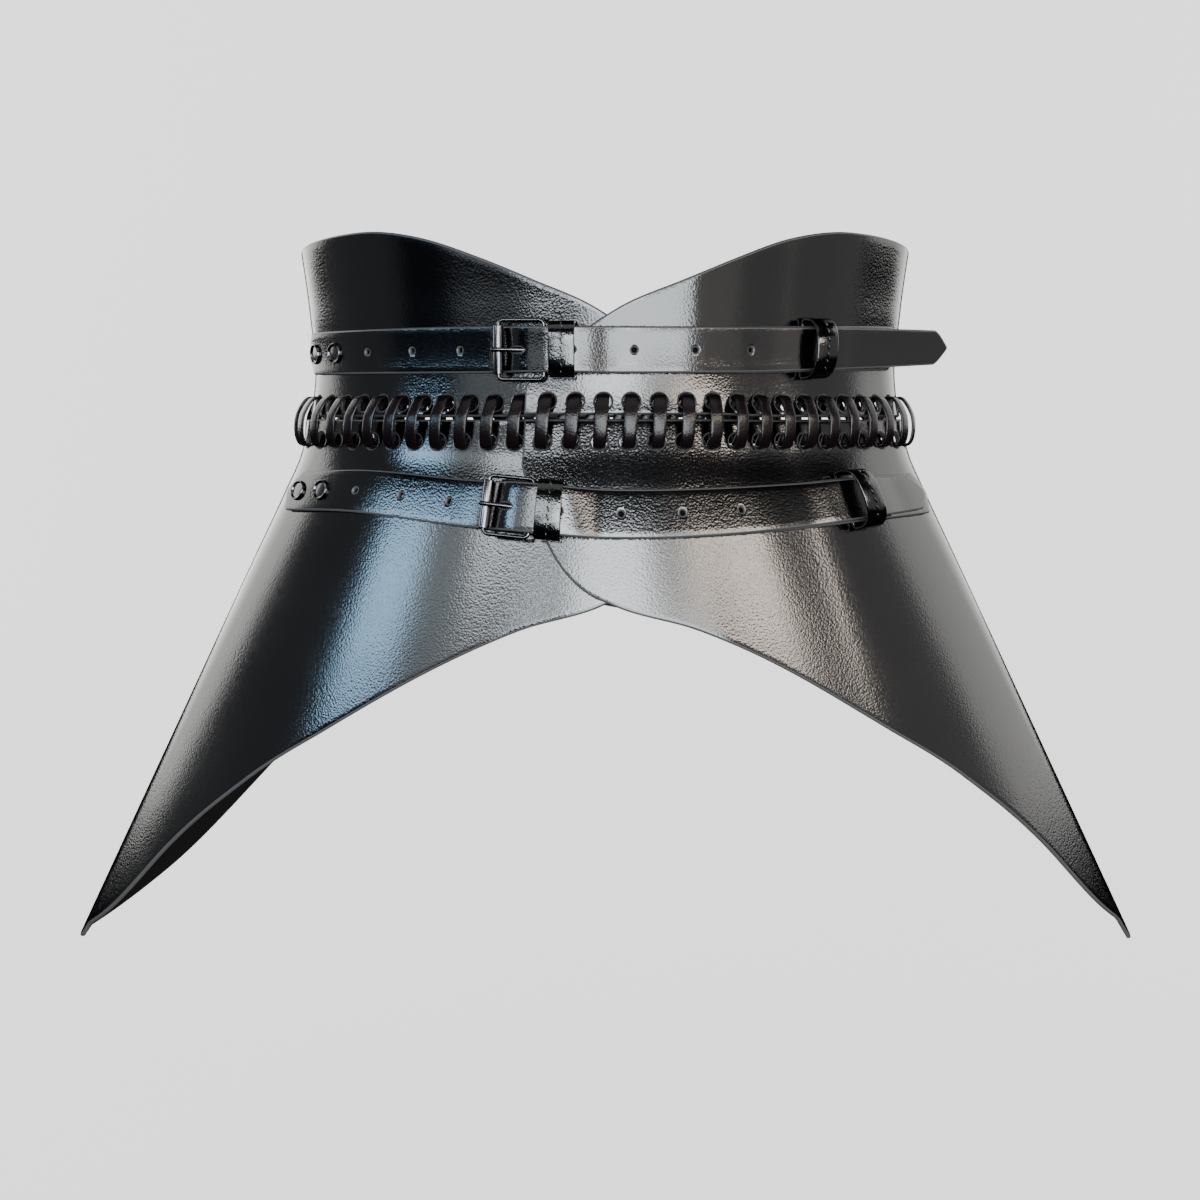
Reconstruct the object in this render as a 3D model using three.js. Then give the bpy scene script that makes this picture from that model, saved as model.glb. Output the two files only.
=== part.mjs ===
// A corset belt of black leather: a waist band and a flared peplum laced edge to edge,
// wrapped right over left and closed by two narrow straps with roller buckles.
// Millimetres, +Z up. The front faces -Y. The origin is the middle of the waist opening,
// at the height of the laced seam.
import * as THREE from 'three';

// Leather walls and the clearances between pieces.
const LEATHER = 2;
const GAP = 0.35;

// The waist oval at its narrowest: its half width, the radius of its side curves, and how far
// the front and the back curves each turn before the side curves take over.
const WAIST_HALF_WIDTH = 121.8;
const SIDE_RADIUS = 36;
const FRONT_TURN = THREE.MathUtils.degToRad(48);
const BACK_TURN = THREE.MathUtils.degToRad(60);

// Heights above and below the laced seam.
const BAND_HEIGHT = 75;
const PEPLUM_DROP = 226;
const SEAM_GAP = 1.8;

// How far each end of the wrap reaches past the middle of the front.
const OUTER_END_REACH = 30.5;
const INNER_END_REACH = 32;
const LAYER_RAMP = 42;

// The lacing: round holes in both edges and one flat lace that winds through them.
const STITCH_SPACES = 60;
const END_TO_FIRST_STITCH = 8;
const INNER_STITCH_CLEARANCE = 1;
const LACE_HOLE_RADIUS = 3.1;
const LACE_HOLE_HEIGHT = 6.6;
const LACE_HOLE_DROP = 8.7;
const LACE_WIDTH = 5;
const LACE_THICKNESS = 1.2;
const LACE_SLANT = 0.8;
const LACE_BULGE = 6;
const STRIP_MARGIN = 1.4;

// The straps: one long punched strap and one short buckle strap at each level.
const STRAP_WIDTH = 18;
const BUCKLE_STRAP_WIDTH = 18.6;
const STRAP_LEATHER = 2;
const BUCKLE_STRAP_LEATHER = 1.6;
const STRAP_HOLE_RADIUS = 1.75;
const STRAP_HOLE_PITCH = 23;
const HOLES_LEFT = 3;
const HOLES_RIGHT = 4;
const FIRST_RIVET = 20;
const RIVET_PITCH = 15.5;
const END_MARGIN = 10.5;
const UPPER_STRAP_HEIGHT = 27.3;
const LOWER_STRAP_DROP = 36.9;
const PRONG_HOLE_REACH = 35;
const PRONG_HOLE_LENGTH = 8;
const PRONG_HOLE_SHIFT = 3.2;
const STRAP_TIP_LENGTH = 192.5;
const STRAP_POINT = 8;
const UPPER_BUCKLE_STRAP_END = 178;
const LOWER_BUCKLE_STRAP_END = 200;

// The roller buckles.
const WIRE_RADIUS = 0.8;
const ROLLER_RADIUS = 2;
const BUCKLE_OPENING = 21;
const BAR_SPACING = 18;
const ROLLER_SHIFT = 5.5;
const PRONG_BASE_RADIUS = 0.6;
const PRONG_RADIUS = 0.9;
const FRAME_CORNER = 2;
const PRONG_CURL_START = THREE.MathUtils.degToRad(-170);
const PRONG_CURL_TURN = THREE.MathUtils.degToRad(260);

// The keepers and the rivets.
const KEEPER_WIDTH = 9.5;
const KEEPER_LEATHER = 1.2;
const KEEPER_CORNER = 1.2;
const KEEPER_EASE = 0.6;
const FIXED_KEEPER_SHIFT = 19.5;
const UPPER_KEEPER_SHIFT = 122;
const LOWER_KEEPER_SHIFT = 148;
const END_KEEPER_SLACK = 2.2;
const END_KEEPER_RISE = 6.5;
const END_KEEPER_ARCH = 5;
const RIVET_RADIUS = 4.2;
const RIVET_DOME = 1.8;
const RIVET_SHANK = 1.25;

// How finely round and curved things are cut into faces.
const WIRE_SIDES = 6;
const ROLLER_SIDES = 10;
const RIVET_SIDES = 8;
const HOOK_STEPS = 6;
const CURL_STEPS = 7;
const KEEPER_CORNER_STEPS = 3;
const BAND_ROWS = [0, 0.15, 0.42, 1];
const PEPLUM_ROWS = [0, 0.1, 1];

const LEATHER_COLOUR = 0x101012;
const LACE_COLOUR = 0x1c171a;
const METAL_COLOUR = 0x2a2b2e;

// Sections of the wrap from its top edge to its points, as shares of the named sizes.
const SECTIONS = [
  { height: 1.0, halfWidth: 1.044, sideRadius: 1.05 },
  { height: 0.6, halfWidth: 1.013, sideRadius: 1.0 },
  { height: 0.213, halfWidth: 1.0, sideRadius: 1.0 },
  { height: 0, halfWidth: 1.031, sideRadius: 1.0 },
  { height: -0.062, halfWidth: 1.048, sideRadius: 1.0 },
  { height: -0.133, halfWidth: 1.107, sideRadius: 0.96 },
  { height: -0.265, halfWidth: 1.226, sideRadius: 0.833 },
  { height: -1, halfWidth: 1.885, sideRadius: 0.167 },
];

// The band's top edge: distance from the nearer end as a share of the half girth,
// height as a share of BAND_HEIGHT.
const TOP_EDGE = [
  { along: 0, height: 0.165 },
  { along: 0.02, height: 0.29 },
  { along: 0.048, height: 0.4 },
  { along: 0.08, height: 0.493 },
  { along: 0.109, height: 0.573 },
  { along: 0.186, height: 0.72 },
  { along: 0.254, height: 0.84 },
  { along: 0.326, height: 0.944 },
  { along: 0.394, height: 0.993 },
  { along: 0.456, height: 0.993 },
  { along: 0.59, height: 0.925 },
  { along: 0.8, height: 0.77 },
  { along: 1.101, height: 0.66 },
];

// The peplum's hem: distance from the nearer end as a share of the half girth,
// drop as a share of PEPLUM_DROP on the left and on the right, as seen from the front.
const HEM = [
  { along: 0, left: 0.08, right: 0.08 },
  { along: 0.014, left: 0.132, right: 0.132 },
  { along: 0.04, left: 0.222, right: 0.222 },
  { along: 0.071, left: 0.287, right: 0.287 },
  { along: 0.1, left: 0.315, right: 0.315 },
  { along: 0.18, left: 0.362, right: 0.362 },
  { along: 0.26, left: 0.44, right: 0.44 },
  { along: 0.335, left: 0.542, right: 0.542 },
  { along: 0.4, left: 0.65, right: 0.65 },
  { along: 0.455, left: 0.793, right: 0.793 },
  { along: 0.487, left: 0.925, right: 0.925 },
  { along: 0.579, left: 1.0, right: 1.0 },
  { along: 0.635, left: 0.995, right: 0.965 },
  { along: 0.705, left: 0.9, right: 0.78 },
  { along: 0.8, left: 0.63, right: 0.625 },
  { along: 0.93, left: 0.475, right: 0.475 },
  { along: 1.101, left: 0.4, right: 0.4 },
];

// The straps' middle lines: reach from the front's middle as a share of the half girth.
const UPPER_LINE = [
  { along: -0.6, height: 1.01 },
  { along: -0.25, height: 1.0 },
  { along: 0.17, height: 0.995 },
  { along: 0.3, height: 1.04 },
  { along: 0.42, height: 1.08 },
  { along: 0.6, height: 1.1 },
];
const LOWER_LINE = [
  { along: -0.6, height: -0.86 },
  { along: -0.42, height: -0.83 },
  { along: -0.3, height: -0.79 },
  { along: -0.13, height: -0.908 },
  { along: 0, height: -1.0 },
  { along: 0.11, height: -0.99 },
  { along: 0.22, height: -0.93 },
  { along: 0.32, height: -0.88 },
  { along: 0.42, height: -0.855 },
  { along: 0.6, height: -0.86 },
];

// One turn of the lace: height as a share of the hole rows' heights, standoff as a share of
// LACE_BULGE, width as a share of LACE_WIDTH. It goes in and out at the stations named.
const LACE_TURN = [
  { height: 0.97, standoff: -0.17, width: 0.82, slant: 1 },
  { height: 1.05, standoff: 0.55, width: 0.86, slant: 1 },
  { height: -0.1, standoff: 1, width: 1, slant: 0 },
  { height: -1.05, standoff: 0.55, width: 0.86, slant: -1 },
  { height: -0.98, standoff: -0.17, width: 0.82, slant: -1 },
];

// The punched strap's half width from its first point to its last, as shares of its length and width.
const STRAP_TAPER = [
  { along: 0, half: 1 },
  { along: 0.7, half: 1 },
  { along: 0.86, half: 0.93 },
  { along: 1, half: 0.8 },
];

// The prong between its curl and its tip: reach from the buckle's middle as a share of BAR_SPACING,
// height as a share of the tip's rest height on the roller, thickness as a share of PRONG_RADIUS.
const PRONG_RUN = [
  { reach: 0.28, height: 0.11, thickness: 1 },
  { reach: -0.5, height: 1, thickness: 1 },
  { reach: -0.611, height: 0.877, thickness: 0.8 },
];

// The rivet's dome from its rim to its crown, as shares of RIVET_RADIUS and RIVET_DOME.
const DOME_PROFILE = [
  { radius: 1, height: 0 },
  { radius: 0.86, height: 0.6 },
  { radius: 0.45, height: 0.93 },
  { radius: 0, height: 1 },
];

// A smooth curve through the rows of a table, by column names.
function smoothTable(rows, key, column) {
  const sorted = [...rows].sort((a, b) => a[key] - b[key]);
  const x = sorted.map((row) => row[key]);
  const y = sorted.map((row) => row[column]);
  const slopes = x.slice(1).map((value, i) => (y[i + 1] - y[i]) / (value - x[i]));
  const tangents = x.map((value, i) => {
    if (i === 0) return slopes[0];
    if (i === x.length - 1) return slopes[i - 1];
    const before = x[i] - x[i - 1];
    const after = x[i + 1] - x[i];
    return (slopes[i - 1] * after + slopes[i] * before) / (before + after);
  });
  return (at) => {
    const clamped = Math.min(Math.max(at, x[0]), x[x.length - 1]);
    let i = 0;
    while (i < x.length - 2 && clamped > x[i + 1]) i += 1;
    const step = x[i + 1] - x[i];
    const t = (clamped - x[i]) / step;
    return (2 * t ** 3 - 3 * t ** 2 + 1) * y[i] + (t ** 3 - 2 * t ** 2 + t) * step * tangents[i]
      + (3 * t ** 2 - 2 * t ** 3) * y[i + 1] + (t ** 3 - t ** 2) * step * tangents[i + 1];
  };
}

const widthShare = smoothTable(SECTIONS, 'height', 'halfWidth');
const radiusShare = smoothTable(SECTIONS, 'height', 'sideRadius');
const smoothStep = (t) => THREE.MathUtils.smoothstep(t, 0, 1);

// The half width and side radius of the oval at a height above or below the seam.
function sectionAt(z) {
  const share = z > 0 ? z / BAND_HEIGHT : z / PEPLUM_DROP;
  return {
    halfWidth: WAIST_HALF_WIDTH * widthShare(share),
    radius: SIDE_RADIUS * radiusShare(share),
  };
}

// A four-arc oval: the point whose outward direction makes the angle phi with -Y.
function ovalPoint(phi, { halfWidth, radius }) {
  const side = phi < 0 ? -1 : 1;
  const turn = Math.abs(phi);
  const centre = halfWidth - radius;
  const front = radius + centre / Math.sin(FRONT_TURN);
  const back = radius + centre / Math.sin(BACK_TURN);
  if (turn < FRONT_TURN) {
    const middle = (front - radius) * Math.cos(FRONT_TURN);
    return [side * front * Math.sin(turn), middle - front * Math.cos(turn)];
  }
  if (turn < Math.PI - BACK_TURN) {
    return [side * (centre + radius * Math.sin(turn)), -radius * Math.cos(turn)];
  }
  const middle = -(back - radius) * Math.cos(BACK_TURN);
  return [side * back * Math.sin(turn), middle - back * Math.cos(turn)];
}

const SEAM = sectionAt(0);
const SEAM_FRONT = SEAM.radius + (SEAM.halfWidth - SEAM.radius) / Math.sin(FRONT_TURN);
const SEAM_BACK = SEAM.radius + (SEAM.halfWidth - SEAM.radius) / Math.sin(BACK_TURN);
const FRONT_LENGTH = SEAM_FRONT * FRONT_TURN;
const SIDE_LENGTH = SEAM.radius * (Math.PI - FRONT_TURN - BACK_TURN);
const HALF_GIRTH = FRONT_LENGTH + SIDE_LENGTH + SEAM_BACK * BACK_TURN;
const GIRTH = 2 * HALF_GIRTH;

// The direction angle at a length along the seam, from the middle of the front to the right.
function angleAt(length) {
  const wrapped = THREE.MathUtils.euclideanModulo(length + HALF_GIRTH, GIRTH) - HALF_GIRTH;
  const side = wrapped < 0 ? -1 : 1;
  const reach = Math.abs(wrapped);
  if (reach < FRONT_LENGTH) return side * reach / SEAM_FRONT;
  if (reach < FRONT_LENGTH + SIDE_LENGTH) {
    return side * (FRONT_TURN + (reach - FRONT_LENGTH) / SEAM.radius);
  }
  return side * (Math.PI - BACK_TURN + (reach - FRONT_LENGTH - SIDE_LENGTH) / SEAM_BACK);
}

// A point of the wrap: length along the seam, height, and standoff from the inner face.
// Points of one length share one horizontal direction, so the flare unrolls flat.
function wallPoint(length, z, standoff) {
  const phi = angleAt(length);
  const outward = [Math.sin(phi), -Math.cos(phi)];
  const step = 0.05;
  const point = ovalPoint(phi, sectionAt(z));
  const above = ovalPoint(phi, sectionAt(z + step));
  const below = ovalPoint(phi, sectionAt(z - step));
  const flare = ((above[0] - below[0]) * outward[0] + (above[1] - below[1]) * outward[1]) / (2 * step);
  const normal = new THREE.Vector3(outward[0], outward[1], -flare).normalize();
  return new THREE.Vector3(point[0], point[1], z).addScaledVector(normal, standoff);
}

// The wrap's ends, and how far the outer layer stands off the inner one that it covers.
const WRAP_START = -OUTER_END_REACH;
const WRAP_END = GIRTH + INNER_END_REACH;
const LAYER_RISE = LEATHER + LACE_THICKNESS + 4 * GAP;
function layerRise(length) {
  return LAYER_RISE * smoothStep(1 - (length - INNER_END_REACH - 2 * GAP) / LAYER_RAMP);
}
const topShare = smoothTable(TOP_EDGE, 'along', 'height');
const hemLeft = smoothTable(HEM, 'along', 'left');
const hemRight = smoothTable(HEM, 'along', 'right');
const fromEnd = (length) => Math.min(length - WRAP_START, WRAP_END - length) / HALF_GIRTH;
const topHeight = (length) => BAND_HEIGHT * topShare(fromEnd(length));
function hemHeight(length) {
  const share = length < HALF_GIRTH ? hemRight : hemLeft;
  return -PEPLUM_DROP * share(fromEnd(length));
}
const wrapPoint = (length, z, standoff) => wallPoint(length, z, layerRise(length) + standoff);

// A flat pattern of points and triangles, later bent and given its thickness.
class Pattern {
  constructor() {
    this.points = [];
    this.triangles = [];
    this.known = new Map();
  }

  point(u, v) {
    const key = `${u.toFixed(4)},${v.toFixed(4)}`;
    if (!this.known.has(key)) {
      this.known.set(key, this.points.length);
      this.points.push([u, v]);
    }
    return this.known.get(key);
  }

  // A convex polygon, counterclockwise, as a fan from its first corner.
  fan(...corners) {
    const ids = corners.map(([u, v]) => this.point(u, v));
    for (let i = 1; i < ids.length - 1; i += 1) this.triangles.push([ids[0], ids[i], ids[i + 1]]);
  }

  // A panel with a six-sided hole: corners a b c d and the middles of its lower and upper edges.
  holed(a, b, c, d, lower, upper, centre, radiusU, radiusV) {
    const ring = [a, lower, b, c, upper, d];
    const turns = [3.5, 4.5, 5.5, 0.5, 1.5, 2.5];
    const hole = turns.map((turn) => {
      const angle = turn * Math.PI / 3;
      return [centre[0] + radiusU * Math.cos(angle), centre[1] + radiusV * Math.sin(angle)];
    });
    ring.forEach((corner, i) => {
      const next = (i + 1) % ring.length;
      this.fan(hole[i], corner, ring[next]);
      this.fan(hole[i], ring[next], hole[next]);
    });
  }

  // A closed wall: every edge that only one triangle uses gets a side face.
  solid(place, thickness) {
    const count = this.points.length;
    const inner = this.points.map(([u, v]) => place(u, v, 0));
    const outer = this.points.map(([u, v]) => place(u, v, thickness));
    const faces = [];
    const edges = new Set();
    this.triangles.forEach(([a, b, c]) => {
      faces.push([a + count, b + count, c + count], [a, c, b]);
      [[a, b], [b, c], [c, a]].forEach((edge) => edges.add(edge.join()));
    });
    edges.forEach((edge) => {
      const [a, b] = edge.split(',').map(Number);
      if (!edges.has(`${b},${a}`)) faces.push([a, b, b + count], [a, b + count, a + count]);
    });
    return meshGeometry([...inner, ...outer], faces);
  }
}

function meshGeometry(points, faces) {
  const geometry = new THREE.BufferGeometry();
  const positions = points.flatMap((point) => point.toArray());
  geometry.setAttribute('position', new THREE.Float32BufferAttribute(positions, 3));
  geometry.setIndex(faces.flat());
  geometry.computeVertexNormals();
  return geometry;
}

// A body swept through rings of points: closed on itself, or with a flat face at each end.
function sweep(rings, closed) {
  const sides = rings[0].length;
  const faces = [];
  const last = closed ? rings.length : rings.length - 1;
  for (let i = 0; i < last; i += 1) {
    const next = (i + 1) % rings.length;
    for (let k = 0; k < sides; k += 1) {
      const after = (k + 1) % sides;
      faces.push([i * sides + k, i * sides + after, next * sides + after]);
      faces.push([i * sides + k, next * sides + after, next * sides + k]);
    }
  }
  if (!closed) {
    const end = (rings.length - 1) * sides;
    for (let k = 1; k < sides - 1; k += 1) {
      faces.push([0, k + 1, k], [end, end + k, end + k + 1]);
    }
  }
  return meshGeometry(rings.flat(), faces);
}

const material = (color, roughness, metalness) => (
  () => new THREE.MeshStandardMaterial({ color, roughness, metalness })
);
const leather = material(LEATHER_COLOUR, 0.38, 0);
const laceLeather = material(LACE_COLOUR, 0.45, 0);
const metal = material(METAL_COLOUR, 0.25, 1);

function part(name, geometry, finish) {
  const mesh = new THREE.Mesh(geometry, finish);
  mesh.name = name;
  return mesh;
}

// The stitches: the middle of each one, from the outer end round the back to the inner part.
const FIRST_STITCH = WRAP_START + END_TO_FIRST_STITCH;
const LAST_STITCH = GIRTH - OUTER_END_REACH - LACE_WIDTH / 2 - INNER_STITCH_CLEARANCE;
const STITCH_PITCH = (LAST_STITCH - FIRST_STITCH) / STITCH_SPACES;
const STITCHES = Array.from({ length: STITCH_SPACES + 1 }, (_, i) => FIRST_STITCH + i * STITCH_PITCH);

// The columns of the wrap: a cell round each stitch, and plain cells at both ends.
function wrapCells() {
  const cells = STITCHES.map((middle) => ({
    left: middle - STITCH_PITCH / 2,
    right: middle + STITCH_PITCH / 2,
    stitch: middle,
  }));
  const ends = (from, to) => {
    const pieces = Math.max(1, Math.round((to - from) / STITCH_PITCH));
    const width = (to - from) / pieces;
    return Array.from({ length: pieces }, (_, i) => ({
      left: from + i * width,
      right: from + (i + 1) * width,
    }));
  };
  const lastRight = cells[cells.length - 1].right;
  return [...ends(WRAP_START, cells[0].left), ...cells, ...ends(lastRight, WRAP_END)];
}

// The strip of a panel that carries the holes, between two heights.
function lacedStrip(pattern, { left, right, stitch }, low, high, holeHeight, shift) {
  const middle = (left + right) / 2;
  const a = [left, low];
  const b = [right, low];
  const c = [right, high];
  const d = [left, high];
  if (stitch === undefined) {
    pattern.fan([middle, low], b, c, [middle, high], d, a);
  } else {
    const centre = [stitch + shift, holeHeight];
    const radius = LACE_HOLE_RADIUS;
    pattern.holed(a, b, c, d, [middle, low], [middle, high], centre, radius, radius);
  }
}

// Rows of a panel that follow on from the holed strip, with a middle column where asked.
function plainRows(pattern, { left, right }, heightAt, rows, fine, upward) {
  const middle = (left + right) / 2;
  const at = (length, row) => [length, heightAt(length, rows[row])];
  for (let i = 0; i < rows.length - 1; i += 1) {
    const [low, high] = upward ? [i, i + 1] : [i + 1, i];
    if (fine) {
      pattern.fan(at(left, low), at(middle, low), at(middle, high), at(left, high));
      pattern.fan(at(middle, low), at(right, low), at(right, high), at(middle, high));
    } else if (i === 0) {
      const [first, last] = upward ? [right, left] : [left, right];
      pattern.fan(at(middle, 0), at(first, 0), at(first, 1), at(last, 1), at(last, 0));
    } else {
      pattern.fan(at(left, low), at(right, low), at(right, high), at(left, high));
    }
  }
}

// The waist band, from the seam's gap up to the notched top edge.
function waistBand() {
  const pattern = new Pattern();
  const stripTop = LACE_HOLE_HEIGHT + LACE_HOLE_RADIUS + STRIP_MARGIN;
  const heightAt = (length, share) => stripTop + share * (topHeight(length) - stripTop);
  wrapCells().forEach((cell) => {
    lacedStrip(pattern, cell, SEAM_GAP, stripTop, LACE_HOLE_HEIGHT, LACE_SLANT);
    plainRows(pattern, cell, heightAt, BAND_ROWS, false, true);
  });
  return part('waist_band', pattern.solid(wrapPoint, LEATHER), leather());
}

// The peplum, from the seam down to the hem and its two points, with finer columns where it
// turns at the sides and a little beyond.
const SIDE_MARGIN = THREE.MathUtils.degToRad(10);
function peplum() {
  const pattern = new Pattern();
  const stripFoot = -LACE_HOLE_DROP - LACE_HOLE_RADIUS - STRIP_MARGIN;
  const heightAt = (length, share) => stripFoot + share * (hemHeight(length) - stripFoot);
  wrapCells().forEach((cell) => {
    lacedStrip(pattern, cell, stripFoot, 0, -LACE_HOLE_DROP, -LACE_SLANT);
    const turn = Math.abs(angleAt((cell.left + cell.right) / 2));
    const fine = turn > FRONT_TURN - SIDE_MARGIN && turn < Math.PI - BACK_TURN + SIDE_MARGIN;
    plainRows(pattern, cell, heightAt, PEPLUM_ROWS, fine, false);
  });
  return part('peplum', pattern.solid(wrapPoint, LEATHER), leather());
}

// The lace: a flat ribbon whose width lies along the seam, wound once through each pair of holes.
function lacing() {
  const stations = STITCHES.flatMap((middle) => LACE_TURN.map((row) => ({
    length: middle + row.slant * LACE_SLANT,
    height: row.height * (row.height > 0 ? LACE_HOLE_HEIGHT : LACE_HOLE_DROP),
    standoff: row.standoff * LACE_BULGE,
    half: row.width * LACE_WIDTH / 2,
  })));
  const rings = stations.map((station, i) => {
    const before = stations[Math.max(i - 1, 0)];
    const after = stations[Math.min(i + 1, stations.length - 1)];
    const climb = after.height - before.height;
    const outward = after.standoff - before.standoff;
    const travel = Math.hypot(climb, outward);
    const lift = outward / travel * LACE_THICKNESS / 2;
    const push = climb / travel * LACE_THICKNESS / 2;
    const corner = (across, side) => wrapPoint(
      station.length + across * station.half,
      station.height - side * lift,
      station.standoff + side * push,
    );
    return [corner(-1, 1), corner(1, 1), corner(1, -1), corner(-1, -1)];
  });
  return part('lacing', sweep(rings, false), laceLeather());
}

// One strap level: places points by length from the prong's hole, offset across the strap
// and standoff from the waist wall. The line is sampled between two shares of the half girth.
const LINE_STANDOFF = 6;
const LINE_FROM = -0.58;
const LINE_TO = 0.66;
const LINE_STEP = 2;
class StrapLine {
  constructor(rows, height) {
    const line = smoothTable(rows, 'along', 'height');
    this.heightAt = (length) => height * line(length / HALF_GIRTH);
    this.samples = [];
    let along = 0;
    let previous = null;
    for (let length = LINE_FROM * HALF_GIRTH; length < LINE_TO * HALF_GIRTH; length += LINE_STEP) {
      const point = wallPoint(length, this.heightAt(length), LINE_STANDOFF);
      if (previous) along += point.distanceTo(previous);
      this.samples.push({ length, along });
      previous = point;
    }
    const zero = this.alongAt(-PRONG_HOLE_REACH);
    this.samples.forEach((sample) => { sample.along -= zero; });
  }

  alongAt(length) {
    const i = this.samples.findIndex((sample) => sample.length > length);
    const [a, b] = [this.samples[i - 1], this.samples[i]];
    return THREE.MathUtils.mapLinear(length, a.length, b.length, a.along, b.along);
  }

  lengthAt(along) {
    const found = this.samples.findIndex((sample) => sample.along > along);
    const i = Math.max(found, 1);
    const [a, b] = [this.samples[i - 1], this.samples[i]];
    return THREE.MathUtils.mapLinear(along, a.along, b.along, a.length, b.length);
  }

  place(along, across, standoff) {
    const length = this.lengthAt(along);
    const middle = this.heightAt(length);
    const step = 1;
    const rise = wallPoint(length, middle + step, 0).distanceTo(wallPoint(length, middle, 0)) / step;
    return wallPoint(length, middle + across / rise, standoff);
  }

  // A frame whose x runs along the strap, y across it and z away from the waist.
  frameAt(along, standoff) {
    const centre = this.place(along, 0, standoff);
    const x = this.place(along + 1, 0, standoff).sub(this.place(along - 1, 0, standoff)).normalize();
    const z = x.clone().cross(this.place(along, 1, standoff).sub(centre)).normalize();
    const y = z.clone().cross(x);
    const group = new THREE.Group();
    group.applyMatrix4(new THREE.Matrix4().makeBasis(x, y, z).setPosition(centre));
    return group;
  }
}

// A leather strip bent along a path of rows { along, standoff }: place(u, across, depth), where u
// is the length along the path and depth the distance from the path to its outer side.
function bentStrip(line, path, straightFrom) {
  const marks = [0];
  for (let i = 1; i < path.length; i += 1) {
    const run = path[i].along - path[i - 1].along;
    const rise = path[i].standoff - path[i - 1].standoff;
    marks.push(marks[i - 1] + Math.hypot(run, rise));
  }
  const spot = (u) => {
    let i = 0;
    while (i < path.length - 2 && u > marks[i + 1]) i += 1;
    const t = (u - marks[i]) / (marks[i + 1] - marks[i]);
    return [
      THREE.MathUtils.lerp(path[i].along, path[i + 1].along, t),
      THREE.MathUtils.lerp(path[i].standoff, path[i + 1].standoff, t),
    ];
  };
  const on = (along, across, standoff) => {
    if (along <= straightFrom) return line.place(along, across, standoff);
    const from = line.place(straightFrom, across, standoff);
    const heading = from.clone().sub(line.place(straightFrom - 1, across, standoff)).normalize();
    return from.addScaledVector(heading, along - straightFrom);
  };
  const place = (u, across, depth) => {
    const reach = 0.4;
    const [along, standoff] = spot(u);
    const [a0, n0] = spot(u - reach);
    const [a1, n1] = spot(u + reach);
    const size = Math.hypot(a1 - a0, n1 - n0);
    return on(along - depth * (n1 - n0) / size, across, standoff + depth * (a1 - a0) / size);
  };
  return { place, marks, length: marks[marks.length - 1] };
}

// A punched strap's pattern: half width by length, holes, joints and both points.
function strapPattern(from, to, halfWidth, holes, joints, points) {
  const pattern = new Pattern();
  const spans = [];
  const cuts = new Set([from, to]);
  holes.forEach((hole) => {
    cuts.add(hole.at - hole.cell);
    cuts.add(hole.at + hole.cell);
  });
  joints.filter((joint) => holes.every((hole) => Math.abs(hole.at - joint) > hole.cell + 1))
    .forEach((joint) => cuts.add(joint));
  const sorted = [...cuts].sort((a, b) => a - b);
  for (let i = 0; i < sorted.length - 1; i += 1) spans.push([sorted[i], sorted[i + 1]]);
  spans.forEach(([left, right]) => {
    const a = [left, -halfWidth(left)];
    const b = [right, -halfWidth(right)];
    const c = [right, halfWidth(right)];
    const d = [left, halfWidth(left)];
    const hole = holes.find(({ at }) => at > left && at < right);
    if (hole) {
      const middle = (left + right) / 2;
      const lower = [middle, -halfWidth(middle)];
      const upper = [middle, halfWidth(middle)];
      pattern.holed(a, b, c, d, lower, upper, [hole.at, 0], hole.along, hole.across);
    } else {
      pattern.fan(a, b, c, d);
    }
  });
  pattern.fan([from, halfWidth(from)], [points.start, 0], [from, -halfWidth(from)]);
  pattern.fan([to, -halfWidth(to)], [points.end, 0], [to, halfWidth(to)]);
  return pattern;
}

// The standoffs of the strap layers, worked out from what they lie on.
const ON_INNER = LEATHER + GAP;
const ON_OUTER = LAYER_RISE + LEATHER + GAP;
const HOOK_INSIDE = WIRE_RADIUS + GAP;
const BAR_STANDOFF = ON_OUTER + BUCKLE_STRAP_LEATHER + HOOK_INSIDE;
const HOOK_TOP = BAR_STANDOFF + HOOK_INSIDE + BUCKLE_STRAP_LEATHER + GAP;
const UNDER_ROLLER = BAR_STANDOFF - ROLLER_RADIUS - GAP - STRAP_LEATHER;
const HINGE = BAR_SPACING - ROLLER_SHIFT;
const OVER_KEEPER = KEEPER_LEATHER + GAP;
const PRONG_HOLE_RISE = 0.68;

// Where the wrap's outer layer has come down onto the waist again, measured on a strap line.
function panelFace(line, along) {
  const length = line.lengthAt(along);
  return LEATHER + (length > WRAP_START ? layerRise(length) : 0) + GAP;
}

// The long punched strap of one level.
function billetPath(line, level) {
  const stack = (along) => panelFace(line, along) + BUCKLE_STRAP_LEATHER + GAP;
  const start = -HOLES_LEFT * STRAP_HOLE_PITCH - FIRST_RIVET - RIVET_PITCH - END_MARGIN;
  const rows = [
    { along: start, standoff: ON_INNER },
    { along: -BAR_SPACING - ROLLER_SHIFT, standoff: ON_INNER },
    { along: -ROLLER_SHIFT - ROLLER_RADIUS, standoff: UNDER_ROLLER - GAP },
    { along: -ROLLER_SHIFT + ROLLER_RADIUS, standoff: UNDER_ROLLER },
    { along: PRONG_HOLE_SHIFT, standoff: THREE.MathUtils.lerp(UNDER_ROLLER, HOOK_TOP, PRONG_HOLE_RISE) },
    { along: HINGE - WIRE_RADIUS, standoff: HOOK_TOP },
    { along: FIXED_KEEPER_SHIFT + KEEPER_WIDTH / 2, standoff: HOOK_TOP - GAP },
  ];
  lyingJoints(STRAP_TIP_LENGTH).forEach((along) => {
    rows.push({ along, standoff: stack(along) + keeperHump(along, level) });
  });
  return rows;
}

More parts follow.
